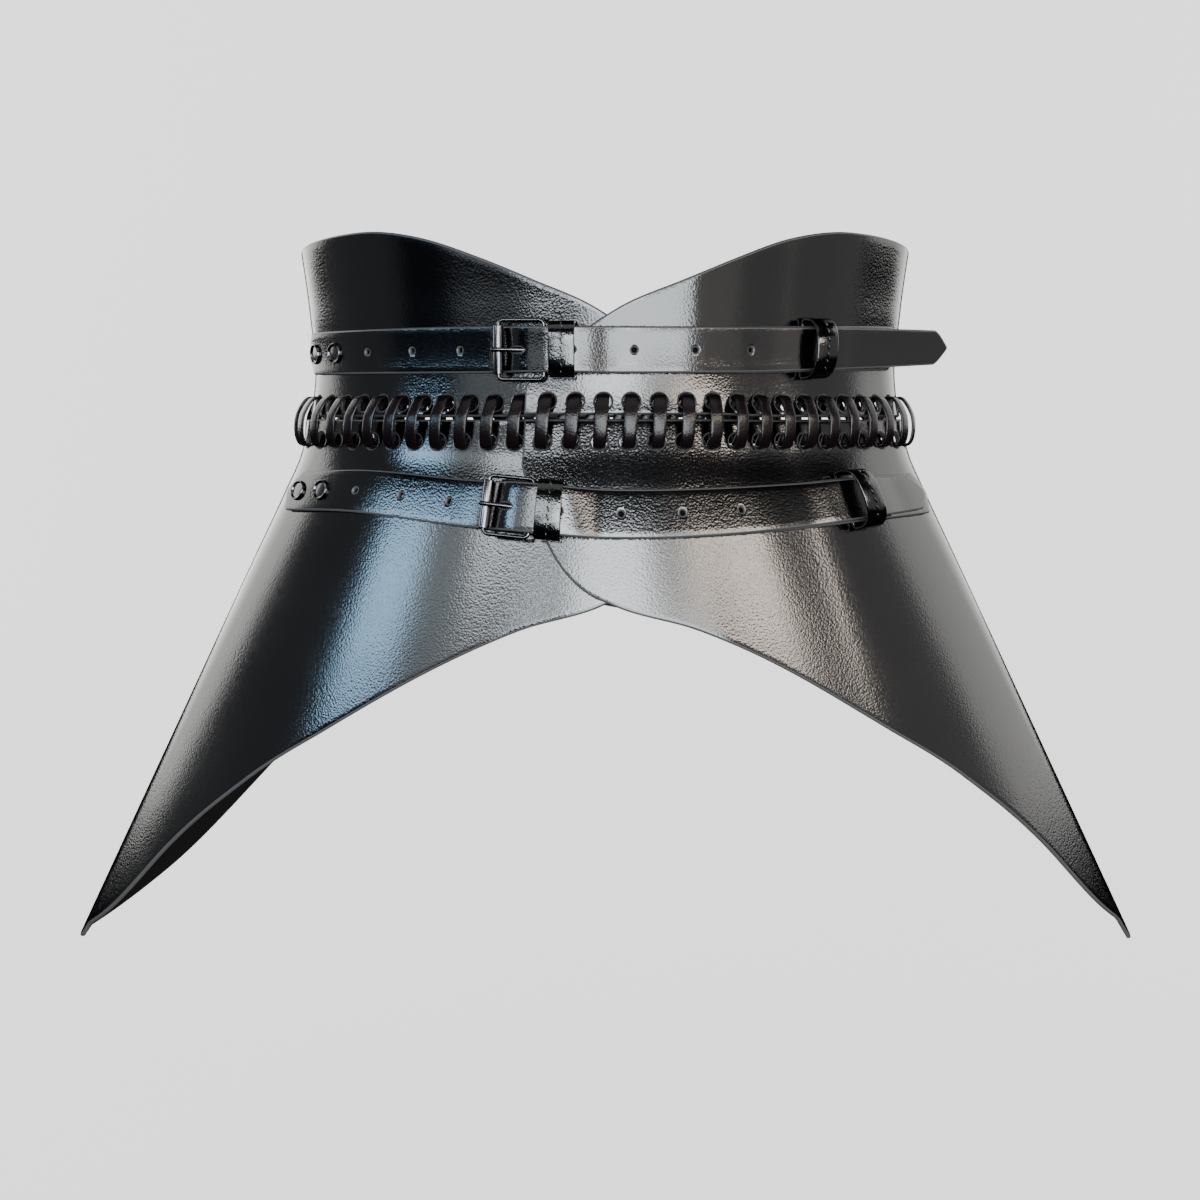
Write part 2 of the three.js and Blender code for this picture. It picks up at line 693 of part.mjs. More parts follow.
// The joints that both straps share where they lie on the wrap, past the fixed keeper.
function lyingJoints(end) {
  const from = FIXED_KEEPER_SHIFT + 2 * KEEPER_WIDTH;
  const count = Math.floor((end - from) / KEEPER_WIDTH);
  return [...Array.from({ length: count }, (_, i) => from + i * KEEPER_WIDTH), end];
}

// The straps rise over the foot of the end keeper that is looped round them.
function keeperHump(along, level) {
  const beyond = Math.abs(along - level.endKeeper) - KEEPER_WIDTH / 2;
  return OVER_KEEPER * smoothStep(1 - beyond / (2 * KEEPER_WIDTH));
}

function billetStrap(line, level) {
  const path = billetPath(line, level);
  const strip = bentStrip(line, path, level.straightFrom);
  const toPath = (along) => {
    let i = 0;
    while (i < path.length - 2 && along > path[i + 1].along) i += 1;
    const t = (along - path[i].along) / (path[i + 1].along - path[i].along);
    return THREE.MathUtils.lerp(strip.marks[i], strip.marks[i + 1], t);
  };
  const holes = [];
  for (let k = -HOLES_LEFT; k <= HOLES_RIGHT; k += 1) {
    const prong = k === 0;
    holes.push({
      at: toPath(k * STRAP_HOLE_PITCH + (prong ? PRONG_HOLE_SHIFT : 0)),
      cell: prong ? PRONG_HOLE_LENGTH / 2 + 1 : 2 * STRAP_HOLE_RADIUS,
      along: prong ? PRONG_HOLE_LENGTH / 2 : STRAP_HOLE_RADIUS,
      across: STRAP_HOLE_RADIUS,
    });
  }
  rivetSpots().forEach((along) => holes.push({
    at: toPath(along),
    cell: 2 * STRAP_HOLE_RADIUS,
    along: STRAP_HOLE_RADIUS,
    across: STRAP_HOLE_RADIUS,
  }));
  const end = toPath(STRAP_TIP_LENGTH);
  const taper = smoothTable(STRAP_TAPER, 'along', 'half');
  const halfWidth = (u) => STRAP_WIDTH / 2 * taper(u / end);
  const joints = strip.marks.slice(1);
  for (let u = STRAP_POINT; u < strip.marks[1]; u += STRAP_POINT) joints.push(u);
  const from = END_MARGIN - 2 * STRAP_HOLE_RADIUS;
  const to = end - STRAP_POINT;
  const inside = joints.filter((u) => u > from + 2 && u < to - 2);
  const pattern = strapPattern(from, to, halfWidth, holes, inside, { start: 0, end });
  return pattern.solid(strip.place, STRAP_LEATHER);
}

// Lengths of the two rivets at the start of the punched strap.
function rivetSpots() {
  const first = -HOLES_LEFT * STRAP_HOLE_PITCH - FIRST_RIVET;
  return [first, first - RIVET_PITCH];
}

// The buckle strap: hooked round the buckle's bar with a slot for the prong, then along the waist.
function bucklePath(line, level) {
  const radius = HOOK_INSIDE;
  const rows = [{ along: HINGE + radius, standoff: BAR_STANDOFF - radius }];
  for (let i = 0; i <= HOOK_STEPS; i += 1) {
    const angle = -Math.PI / 2 - Math.PI * i / HOOK_STEPS;
    rows.push({
      along: HINGE + radius * Math.cos(angle),
      standoff: BAR_STANDOFF + radius * Math.sin(angle),
    });
  }
  const slotEnd = HINGE + 2 * (PRONG_BASE_RADIUS + radius);
  rows.push({ along: slotEnd, standoff: BAR_STANDOFF + radius - GAP / 2 });
  const keeperEnd = FIXED_KEEPER_SHIFT + KEEPER_WIDTH / 2;
  rows.push({ along: keeperEnd, standoff: ON_OUTER + OVER_KEEPER });
  lyingJoints(level.buckleStrapEnd).forEach((along) => {
    rows.push({ along, standoff: panelFace(line, along) + keeperHump(along, level) });
  });
  return rows;
}

function buckleStrap(line, level) {
  const path = bucklePath(line, level);
  const strip = bentStrip(line, path, Infinity);
  const half = BUCKLE_STRAP_WIDTH / 2;
  const slotHalf = PRONG_BASE_RADIUS + 2 * GAP;
  const slotEnd = strip.marks[HOOK_STEPS + 3];
  const pattern = new Pattern();
  const marks = strip.marks.filter((mark) => mark < strip.length - STRAP_POINT - 1);
  marks.push(strip.length - STRAP_POINT);
  for (let i = 0; i < marks.length - 1; i += 1) {
    const [left, right] = [marks[i], marks[i + 1]];
    if (right < slotEnd) {
      pattern.fan([left, -half], [right, -half], [right, -slotHalf], [left, -slotHalf]);
      pattern.fan([left, slotHalf], [right, slotHalf], [right, half], [left, half]);
    } else if (left < slotEnd) {
      pattern.fan([left, -half], [right, -half], [left, -slotHalf]);
      pattern.fan([left, -slotHalf], [right, -half], [right, half], [left, slotHalf]);
      pattern.fan([left, slotHalf], [right, half], [left, half]);
    } else {
      pattern.fan([left, -half], [right, -half], [right, half], [left, half]);
    }
  }
  const foot = marks[marks.length - 1];
  pattern.fan([foot, -half], [strip.length, 0], [foot, half]);
  return pattern.solid(strip.place, BUCKLE_STRAP_LEATHER);
}

// The buckle's wire frame: a rounded rectangle round the roller's bar and the hinge bar.
function buckleFrame() {
  const halfAlong = BAR_SPACING / 2;
  const halfAcross = BUCKLE_OPENING / 2 + WIRE_RADIUS;
  const path = [];
  [[1, 1], [-1, 1], [-1, -1], [1, -1]].forEach(([x, y], quarter) => {
    for (let i = 0; i <= 2; i += 1) {
      const angle = (quarter + i / 2) * Math.PI / 2;
      path.push(new THREE.Vector3(
        x * (halfAlong - FRAME_CORNER) + FRAME_CORNER * Math.cos(angle),
        y * (halfAcross - FRAME_CORNER) + FRAME_CORNER * Math.sin(angle),
        0,
      ));
    }
  });
  const rings = path.map((point, i) => {
    const before = path[(i + path.length - 1) % path.length];
    const after = path[(i + 1) % path.length];
    const heading = after.clone().sub(before).normalize();
    const outward = new THREE.Vector3(heading.y, -heading.x, 0);
    return wireRing(point, outward, new THREE.Vector3(0, 0, 1), WIRE_RADIUS);
  });
  return sweep(rings, true);
}

// A ring of points round a centre, from one direction towards the other.
function wireRing(centre, first, second, radius) {
  return Array.from({ length: WIRE_SIDES }, (_, k) => {
    const angle = 2 * Math.PI * (k + 0.5) / WIRE_SIDES;
    return centre.clone()
      .addScaledVector(first, -radius * Math.cos(angle))
      .addScaledVector(second, radius * Math.sin(angle));
  });
}

// The roller: a tube that turns freely on the frame's outer bar.
function roller() {
  const bore = WIRE_RADIUS + GAP;
  const half = BUCKLE_OPENING / 2 - 3 * GAP;
  const profile = [
    [bore, -half],
    [ROLLER_RADIUS, -half],
    [ROLLER_RADIUS, half],
    [bore, half],
    [bore, -half],
  ];
  return new THREE.LatheGeometry(profile.map(([x, y]) => new THREE.Vector2(x, y)), ROLLER_SIDES);
}

// The prong: curled round the hinge bar, with its tip resting on the roller.
function prong() {
  const curl = WIRE_RADIUS + GAP + PRONG_BASE_RADIUS;
  const rest = ROLLER_RADIUS + PRONG_RADIUS + GAP;
  const stations = [];
  for (let i = 0; i <= CURL_STEPS; i += 1) {
    const angle = PRONG_CURL_START + PRONG_CURL_TURN * i / CURL_STEPS;
    stations.push({
      x: BAR_SPACING / 2 + curl * Math.cos(angle),
      z: curl * Math.sin(angle),
      radius: PRONG_BASE_RADIUS,
    });
  }
  PRONG_RUN.forEach((row) => stations.push({
    x: row.reach * BAR_SPACING,
    z: row.height * rest,
    radius: row.thickness * PRONG_RADIUS,
  }));
  const rings = stations.map((station, i) => {
    const before = stations[Math.max(i - 1, 0)];
    const after = stations[Math.min(i + 1, stations.length - 1)];
    const heading = new THREE.Vector3(after.x - before.x, 0, after.z - before.z).normalize();
    const up = new THREE.Vector3(-heading.z, 0, heading.x);
    const centre = new THREE.Vector3(station.x, 0, station.z);
    return wireRing(centre, up, new THREE.Vector3(0, 1, 0), station.radius);
  });
  return sweep(rings, false);
}

// A keeper: a closed leather loop round both straps. Its inside is a rectangle from foot to top,
// with a small corner radius at the foot and its own at the top.
function keeper(line, along, foot, top, half, topCorner) {
  const outline = (grow) => {
    const points = [];
    [[1, 1], [-1, 1], [-1, -1], [1, -1]].forEach(([x, y], quarter) => {
      const round = (y > 0 ? topCorner : KEEPER_CORNER) + grow;
      for (let i = 0; i <= KEEPER_CORNER_STEPS; i += 1) {
        const angle = (quarter + i / KEEPER_CORNER_STEPS) * Math.PI / 2;
        points.push([
          x * (half + grow - round) + round * Math.cos(angle),
          (foot + top) / 2 + y * ((top - foot) / 2 + grow - round) + round * Math.sin(angle),
        ]);
      }
    });
    return points;
  };
  const inner = outline(0);
  const outer = outline(KEEPER_LEATHER);
  const left = along - KEEPER_WIDTH / 2;
  const right = along + KEEPER_WIDTH / 2;
  const rings = inner.map((point, i) => [
    line.place(left, point[0], point[1]),
    line.place(right, point[0], point[1]),
    line.place(right, outer[i][0], outer[i][1]),
    line.place(left, outer[i][0], outer[i][1]),
  ]);
  return sweep(rings, true);
}

// A domed rivet with its shank, its seat at z = 0.
function rivet(shank) {
  const dome = DOME_PROFILE.map((row) => [row.radius * RIVET_RADIUS, row.height * RIVET_DOME]);
  const profile = [[0, -shank], [RIVET_SHANK, -shank], [RIVET_SHANK, 0], ...dome];
  const geometry = new THREE.LatheGeometry(profile.map(([x, y]) => new THREE.Vector2(x, y)), RIVET_SIDES);
  return geometry.rotateX(Math.PI / 2);
}

// One strap level: both straps, the buckle, two keepers and the two rivets that show.
function strapLevel(name, level) {
  const line = new StrapLine(level.line, level.height);
  const group = new THREE.Group();
  group.add(part(`${name}_billet_strap`, billetStrap(line, level), leather()));
  group.add(part(`${name}_buckle_strap`, buckleStrap(line, level), leather()));

  const buckle = line.frameAt(HINGE - BAR_SPACING / 2, BAR_STANDOFF);
  buckle.add(part(`${name}_buckle_frame`, buckleFrame(), metal()));
  const tube = part(`${name}_buckle_roller`, roller(), metal());
  tube.position.x = -BAR_SPACING / 2;
  buckle.add(tube);
  buckle.add(part(`${name}_buckle_prong`, prong(), metal()));
  group.add(buckle);

  const fixedHalf = STRAP_WIDTH / 2 + 2 * GAP + KEEPER_EASE;
  const fixedTop = HOOK_TOP + STRAP_LEATHER + 2 * GAP;
  const fixedFoot = ON_OUTER + KEEPER_LEATHER;
  const fixed = keeper(line, FIXED_KEEPER_SHIFT, fixedFoot, fixedTop, fixedHalf, KEEPER_CORNER);
  group.add(part(`${name}_keeper_fixed`, fixed, leather()));
  const endFoot = panelFace(line, level.endKeeper) + KEEPER_LEATHER;
  const endTop = endFoot + 2 * GAP + BUCKLE_STRAP_LEATHER + STRAP_LEATHER + END_KEEPER_RISE;
  const endHalf = STRAP_WIDTH / 2 + END_KEEPER_SLACK;
  const end = keeper(line, level.endKeeper, endFoot, endTop, endHalf, END_KEEPER_ARCH);
  group.add(part(`${name}_keeper_end`, end, leather()));

  rivetSpots().forEach((along, i) => {
    const seat = line.frameAt(along, ON_INNER + STRAP_LEATHER + GAP);
    seat.add(part(`${name}_rivet_left_${i + 1}`, rivet(STRAP_LEATHER + GAP), metal()));
    group.add(seat);
  });
  return group;
}

const belt = new THREE.Group();
belt.add(waistBand());
belt.add(peplum());
belt.add(lacing());
belt.add(strapLevel('upper', {
  line: UPPER_LINE,
  height: UPPER_STRAP_HEIGHT,
  endKeeper: UPPER_KEEPER_SHIFT,
  buckleStrapEnd: UPPER_BUCKLE_STRAP_END,
  straightFrom: UPPER_KEEPER_SHIFT,
}));
belt.add(strapLevel('lower', {
  line: LOWER_LINE,
  height: LOWER_STRAP_DROP,
  endKeeper: LOWER_KEEPER_SHIFT,
  buckleStrapEnd: LOWER_BUCKLE_STRAP_END,
  straightFrom: Infinity,
}));

export default belt;
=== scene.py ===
import bpy
import numpy as np
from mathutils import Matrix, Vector


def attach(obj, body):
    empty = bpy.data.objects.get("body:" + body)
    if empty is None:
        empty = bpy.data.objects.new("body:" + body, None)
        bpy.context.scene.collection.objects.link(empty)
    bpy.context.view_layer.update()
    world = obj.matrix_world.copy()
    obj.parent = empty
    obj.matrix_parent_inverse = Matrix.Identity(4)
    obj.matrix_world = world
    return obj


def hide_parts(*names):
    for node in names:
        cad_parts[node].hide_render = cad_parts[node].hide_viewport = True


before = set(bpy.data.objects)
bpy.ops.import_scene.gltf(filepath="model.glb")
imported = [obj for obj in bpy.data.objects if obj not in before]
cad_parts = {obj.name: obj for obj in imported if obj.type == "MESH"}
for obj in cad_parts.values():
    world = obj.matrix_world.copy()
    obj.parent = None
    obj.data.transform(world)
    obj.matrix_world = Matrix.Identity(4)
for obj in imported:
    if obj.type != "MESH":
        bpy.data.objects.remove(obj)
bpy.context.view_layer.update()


# The view and the studio. The belt hangs in front of a pale sweep that is floor and wall in one,
# seen level with its laced seam from straight in front, tipped down by a few degrees.
CAMERA_DISTANCE = 0.775
CAMERA_TILT = np.radians(84.286)
CAMERA_LENS = 53.97
FRAME_WIDTH = 1200
FRAME_SHIFT = -5
FLOOR_HEIGHT = -0.62
WALL_DISTANCE = 1.9
WALL_CURVE = 1.0
WALL_TOP = 2.4
SWEEP_REACH = 3.0
SWEEP_COLOUR = (0.25, 0.25, 0.25, 1)
SWEEP_GLOW = 1.28
SKY_LIGHT = 0.006

camera_data = bpy.data.cameras.new("camera")
camera_data.lens = CAMERA_LENS
camera_data.shift_x = FRAME_SHIFT / FRAME_WIDTH
camera = bpy.data.objects.new("camera", camera_data)
camera.location = (0, -CAMERA_DISTANCE, 0)
camera.rotation_euler = (CAMERA_TILT, 0, 0)
bpy.context.scene.collection.objects.link(camera)
bpy.context.scene.camera = camera


def surface_material(name, colour, roughness, **constants):
    """A Principled surface with these constants on the shader's own sockets."""
    material = bpy.data.materials.new(name)
    material.use_nodes = True
    shader = material.node_tree.nodes["Principled BSDF"]
    shader.inputs["Base Color"].default_value = colour
    shader.inputs["Roughness"].default_value = roughness
    for socket, value in constants.items():
        shader.inputs[socket.replace("_", " ")].default_value = value
    return material


def add_mesh(name, vertices, faces, materials, slots=None):
    """A smooth-shaded mesh object at the origin, from arrays of points in metres and of faces."""
    mesh = bpy.data.meshes.new(name)
    mesh.from_pydata(vertices.tolist(), [], faces.tolist())
    mesh.polygons.foreach_set("use_smooth", np.ones(len(mesh.polygons), bool))
    for material in materials:
        mesh.materials.append(material)
    if slots is not None:
        mesh.polygons.foreach_set("material_index", np.asarray(slots, np.int32))
    mesh.update()
    obj = bpy.data.objects.new(name, mesh)
    bpy.context.scene.collection.objects.link(obj)
    return obj


def grid_faces(rows, columns, close_rows=False, close_columns=False):
    """Quads of a grid of points stored row by row, with either way joined up if asked."""
    i = np.arange(rows if close_rows else rows - 1)[:, None]
    j = np.arange(columns if close_columns else columns - 1)[None, :]
    after_i, after_j = (i + 1) % rows, (j + 1) % columns
    quads = [i * columns + j, i * columns + after_j, after_i * columns + after_j, after_i * columns + j]
    return np.stack(np.broadcast_arrays(*quads), -1).reshape(-1, 4)


def studio_sweep():
    """Floor, quarter-circle curve and wall as one profile, carried straight across."""
    turn = np.linspace(0, np.pi / 2, 24)
    curve_y = WALL_DISTANCE - WALL_CURVE + WALL_CURVE * np.sin(turn)
    curve_z = FLOOR_HEIGHT + WALL_CURVE * (1 - np.cos(turn))
    y = np.concatenate([[-SWEEP_REACH], curve_y, [WALL_DISTANCE]])
    z = np.concatenate([[FLOOR_HEIGHT], curve_z, [WALL_TOP]])
    x = np.array([-SWEEP_REACH, SWEEP_REACH])
    points = np.stack([np.tile(x, len(y)), np.repeat(y, 2), np.repeat(z, 2)], -1)
    pale = surface_material("pale_paint", SWEEP_COLOUR, 0.9, Emission_Color=(1, 1, 1, 1),
                            Emission_Strength=SWEEP_GLOW)
    sweep = add_mesh("studio_sweep", points, grid_faces(len(y), 2), [pale])
    sweep.visible_glossy = False
    return sweep


studio_sweep()


# The studio's lamps as they are seen from the belt: name, azimuths from left to right with 0 straight
# in front and 90 at the right, elevations from low to high, distance, radiance and colour.
LAMPS = (
    ("left_wall", -150, -100, 0, 40, 2.0, 5, (1.0, 0.99, 0.97)),
    ("left_dim", -100, -67, -8, 34, 2.0, 0.3, (0.9, 0.95, 1.0)),
    ("blue_window", -67, -52, 7.5, 15.5, 6.0, 20, (0.44, 0.71, 1.0)),
    ("left_fill", -53, -36, 8, 16, 6.0, 4.2, (0.84, 0.93, 1.0)),
    ("front_left", -36, -10, 10, 17, 6.0, 19, (0.90, 0.96, 1.0)),
    ("left_low", -48, -24, -1, 5, 2.0, 2.6, (0.84, 0.93, 1.0)),
    ("front_window", -8, 11, 5, 14, 6.0, 30, (0.90, 0.96, 1.0)),
    ("front_level", -24, -5, 0, 5, 2.0, 22, (0.90, 0.96, 1.0)),
    ("front_low", -5, 27, -14, 5, 2.0, 20, (0.90, 0.96, 1.0)),
    ("right_fill", 11, 22, 6, 14, 6.0, 9, (1.0, 0.97, 0.93)),
    ("warm_near", 22, 44, 8, 15, 6.0, 22, (1.0, 0.88, 0.78)),
    ("warm_far", 44, 62, 8.5, 15.5, 6.0, 24, (1.0, 0.88, 0.78)),
    ("right_low", 27, 60, -14, 4, 2.0, 1.4, (1.0, 0.97, 0.93)),
    ("right_dim", 60, 90, -8, 18, 2.0, 0.8, (1.0, 0.97, 0.95)),
    ("right_wall", 90, 150, 0, 40, 2.0, 3.0, (1.0, 0.99, 0.97)),
    ("ceiling", -40, 40, 38, 70, 2.0, 1.4, (0.95, 1.0, 0.97)),
)


def soft_light(name, left, right, low, high, distance, radiance, colour):
    """A rectangular lamp facing the belt that fills these angles and sends this radiance: its
    power is radiance times pi times its area."""
    turn, rise = np.radians((left + right) / 2), np.radians((low + high) / 2)
    width = 2 * distance * np.tan(np.radians(right - left) / 2)
    height = 2 * distance * np.tan(np.radians(high - low) / 2)
    lamp = bpy.data.lights.new(name, "AREA")
    lamp.shape = "RECTANGLE"
    lamp.size, lamp.size_y = width, height
    lamp.energy = radiance * np.pi * width * height
    lamp.color = colour
    away = Vector((np.sin(turn) * np.cos(rise), -np.cos(turn) * np.cos(rise), np.sin(rise)))
    obj = bpy.data.objects.new(name, lamp)
    obj.location = away * distance
    obj.rotation_mode = "QUATERNION"
    obj.rotation_quaternion = away.to_track_quat("Z", "Y")
    bpy.context.scene.collection.objects.link(obj)


for lamp in LAMPS:
    soft_light(*lamp)

world = bpy.data.worlds.new("studio_air")
world.use_nodes = True
sky = world.node_tree
ray = sky.nodes.new("ShaderNodeLightPath")
seen = sky.nodes.new("ShaderNodeMix")
seen.inputs[2].default_value = SKY_LIGHT
seen.inputs[3].default_value = SWEEP_GLOW
sky.links.new(ray.outputs["Is Camera Ray"], seen.inputs[0])
sky.links.new(seen.outputs[0], sky.nodes["Background"].inputs["Color"])
bpy.context.scene.world = world


# The waist band: one strip of firm black leather, wrapped right over left. Its top edge runs from
# the notch in front to a rounded peak at each side, its lower edge is punched for the lace, and
# all its cut edges are burnished round.
MM = 0.001
LEATHER = 2.0
GAP = 0.35
EDGE_ROUND = 0.7
WAIST_HALF_WIDTH = 121.8
SIDE_RADIUS = 36.0
FRONT_TURN = np.radians(48)
BACK_TURN = np.radians(60)
BAND_HEIGHT = 75.0
PEPLUM_DROP = 226.0
SEAM_GAP = 1.2
OUTER_END_REACH = 30.5
INNER_END_REACH = 32.0
LAYER_RAMP = 42.0
STITCH_SPACES = 60
END_TO_FIRST_STITCH = 8.0
INNER_STITCH_CLEARANCE = 1.0
LACE_HOLE_RADIUS = 3.1
LACE_HOLE_HEIGHT = 6.6
LACE_HOLE_DROP = 8.7
LACE_WIDTH = 5.0
LACE_THICKNESS = 1.2
LACE_SLANT = 0.8
STRIP_MARGIN = 1.4
CELL_STEPS = 8
HOLE_RINGS = (0, 0.12, 0.34, 0.64, 1)
BAND_ROWS = 22
BAND_DRAWN_IN = 1.3
BAND_DRAWN_HEIGHT = 30.0
BAND_DRAWN_FROM = 30.0
BAND_DRAWN_RAMP = 30.0

SECTION_HEIGHT = (-1, -0.265, -0.133, -0.062, 0, 0.213, 0.6, 1.0)
SECTION_WIDTH = (1.885, 1.226, 1.107, 1.048, 1.031, 1.0, 1.013, 1.044)
SECTION_RADIUS = (0.167, 0.833, 0.96, 1.0, 1.0, 1.0, 1.0, 1.05)
TOP_ALONG = (0, 0.02, 0.048, 0.08, 0.109, 0.186, 0.254, 0.326, 0.394, 0.456, 0.59, 0.8, 1.101)
TOP_SHARE = (0.165, 0.29, 0.4, 0.493, 0.573, 0.72, 0.84, 0.944, 0.993, 0.993, 0.925, 0.77, 0.66)


def smooth_table(x, y):
    """A cubic curve through (x, y) whose slope at each point is the mean of its neighbours'."""
    x, y = np.asarray(x, float), np.asarray(y, float)
    step = np.diff(x)
    slope = np.diff(y) / step
    inner = (slope[:-1] * step[1:] + slope[1:] * step[:-1]) / (step[1:] + step[:-1])
    tangent = np.concatenate([slope[:1], inner, slope[-1:]])

    def at(value):
        value = np.clip(value, x[0], x[-1])
        i = np.clip(np.searchsorted(x, value) - 1, 0, len(x) - 2)
        t = (value - x[i]) / step[i]
        return ((2 * t**3 - 3 * t**2 + 1) * y[i] + (t**3 - 2 * t**2 + t) * step[i] * tangent[i]
                + (3 * t**2 - 2 * t**3) * y[i + 1] + (t**3 - t**2) * step[i] * tangent[i + 1])

    return at


width_share = smooth_table(SECTION_HEIGHT, SECTION_WIDTH)
radius_share = smooth_table(SECTION_HEIGHT, SECTION_RADIUS)
top_share = smooth_table(TOP_ALONG, TOP_SHARE)


def section_at(z):
    """Half width and side radius of the waist oval at a height above or below the seam."""
    share = np.where(z > 0, z / BAND_HEIGHT, z / PEPLUM_DROP)
    return WAIST_HALF_WIDTH * width_share(share), SIDE_RADIUS * radius_share(share)


def oval_point(phi, z):
    """The oval's point whose outward direction makes the angle phi with the front: a wide front
    arc, a tight side arc and a wide back arc, each tangent to the next."""
    half, radius = section_at(z)
    side, turn = np.where(phi < 0, -1, 1), np.abs(phi)
    centre = half - radius
    front = radius + centre / np.sin(FRONT_TURN)
    back = radius + centre / np.sin(BACK_TURN)
    front_y = (front - radius) * np.cos(FRONT_TURN) - front * np.cos(turn)
    back_y = -(back - radius) * np.cos(BACK_TURN) - back * np.cos(turn)
    in_front, in_back = turn < FRONT_TURN, turn > np.pi - BACK_TURN
    x = np.where(in_front, front * np.sin(turn),
                 np.where(in_back, back * np.sin(turn), centre + radius * np.sin(turn)))
    y = np.where(in_front, front_y, np.where(in_back, back_y, -radius * np.cos(turn)))
    return side * x, y


seam_half, seam_radius = (float(size) for size in section_at(np.array(0.0)))
SEAM_FRONT = seam_radius + (seam_half - seam_radius) / np.sin(FRONT_TURN)
SEAM_BACK = seam_radius + (seam_half - seam_radius) / np.sin(BACK_TURN)
FRONT_LENGTH = SEAM_FRONT * FRONT_TURN
SIDE_LENGTH = seam_radius * (np.pi - FRONT_TURN - BACK_TURN)
HALF_GIRTH = FRONT_LENGTH + SIDE_LENGTH + SEAM_BACK * BACK_TURN
GIRTH = 2 * HALF_GIRTH
WRAP_START = -OUTER_END_REACH
WRAP_END = GIRTH + INNER_END_REACH
LAYER_RISE = LEATHER + LACE_THICKNESS + 4 * GAP


def angle_at(length):
    """Outward angle at a length along the seam, from the front's middle to the right: the length
    over the radius of whichever arc it falls on."""
    wrapped = np.mod(length + HALF_GIRTH, GIRTH) - HALF_GIRTH
    side, reach = np.where(wrapped < 0, -1, 1), np.abs(wrapped)
    on_side = FRONT_TURN + (reach - FRONT_LENGTH) / seam_radius
    on_back = np.pi - BACK_TURN + (reach - FRONT_LENGTH - SIDE_LENGTH) / SEAM_BACK
    turn = np.where(reach < FRONT_LENGTH, reach / SEAM_FRONT,
                    np.where(reach < FRONT_LENGTH + SIDE_LENGTH, on_side, on_back))
    return side * turn


def wall_point(length, z, standoff):
    """A point of the wrap in millimetres: the oval's point at that height, moved out by standoff
    along the wall's normal, which leans by the wall's flare."""
    length, z, standoff = np.broadcast_arrays(np.asarray(length, float), z, standoff)
    phi = angle_at(length)
    out_x, out_y = np.sin(phi), -np.cos(phi)
    step = 0.05
    x, y = oval_point(phi, z)
    above, below = oval_point(phi, z + step), oval_point(phi, z - step)
    flare = ((above[0] - below[0]) * out_x + (above[1] - below[1]) * out_y) / (2 * step)
    size = np.sqrt(1 + flare**2)
    return np.stack([x + standoff * out_x / size, y + standoff * out_y / size,
                     z - standoff * flare / size], -1)


def smooth_step(t):
    """0 below 0, 1 above 1 and a smooth S between."""
    t = np.clip(t, 0, 1)
    return t * t * (3 - 2 * t)


def layer_rise(length):
    """How far the outer layer stands off where it covers the inner one, easing down beyond it."""
    return LAYER_RISE * smooth_step(1 - (length - INNER_END_REACH - 2 * GAP) / LAYER_RAMP)


def wrap_point(length, z, standoff):
    """A point of the two-layer wrap: the wall's point with the outer layer's rise added."""
    return wall_point(length, z, layer_rise(length) + standoff)


FIRST_STITCH = WRAP_START + END_TO_FIRST_STITCH
LAST_STITCH = GIRTH - OUTER_END_REACH - LACE_WIDTH / 2 - INNER_STITCH_CLEARANCE
STITCH_PITCH = (LAST_STITCH - FIRST_STITCH) / STITCH_SPACES
STITCHES = FIRST_STITCH + STITCH_PITCH * np.arange(STITCH_SPACES + 1)


def from_end(length):
    """Distance from the nearer end of the wrap, as a share of the half girth."""
    return np.minimum(length - WRAP_START, WRAP_END - length) / HALF_GIRTH


def unit_ring(steps):
    """The corners and edge points of a unit square, counterclockwise from its lower left."""
    t = np.arange(steps) / steps
    sides = [(t, 0 * t), (0 * t + 1, t), (1 - t, 0 * t + 1), (0 * t, 1 - t)]
    return np.concatenate([np.stack(side, -1) for side in sides])


def holed_cells(corners, centre, radius, inset):
    """Cells with an oval hole: rings that go evenly from the hole's rim to the cell's outline.
    corners has the outlines' points, centre and radius the holes', cell by cell."""
    away = (corners - centre[:, None]) / radius
    rim = centre[:, None] + away / np.linalg.norm(away, axis=-1, keepdims=True) * (radius + inset)
    share = np.array(HOLE_RINGS)[None, :, None, None]
    return rim[:, None] * (1 - share) + corners[:, None] * share


def cell_faces(count, rings, steps):
    """Quads between the rings of holed cells, cell after cell."""
    one = grid_faces(rings, steps, close_columns=True)[:, [0, 3, 2, 1]]
    return (one[None] + (np.arange(count) * rings * steps)[:, None, None]).reshape(-1, 4)


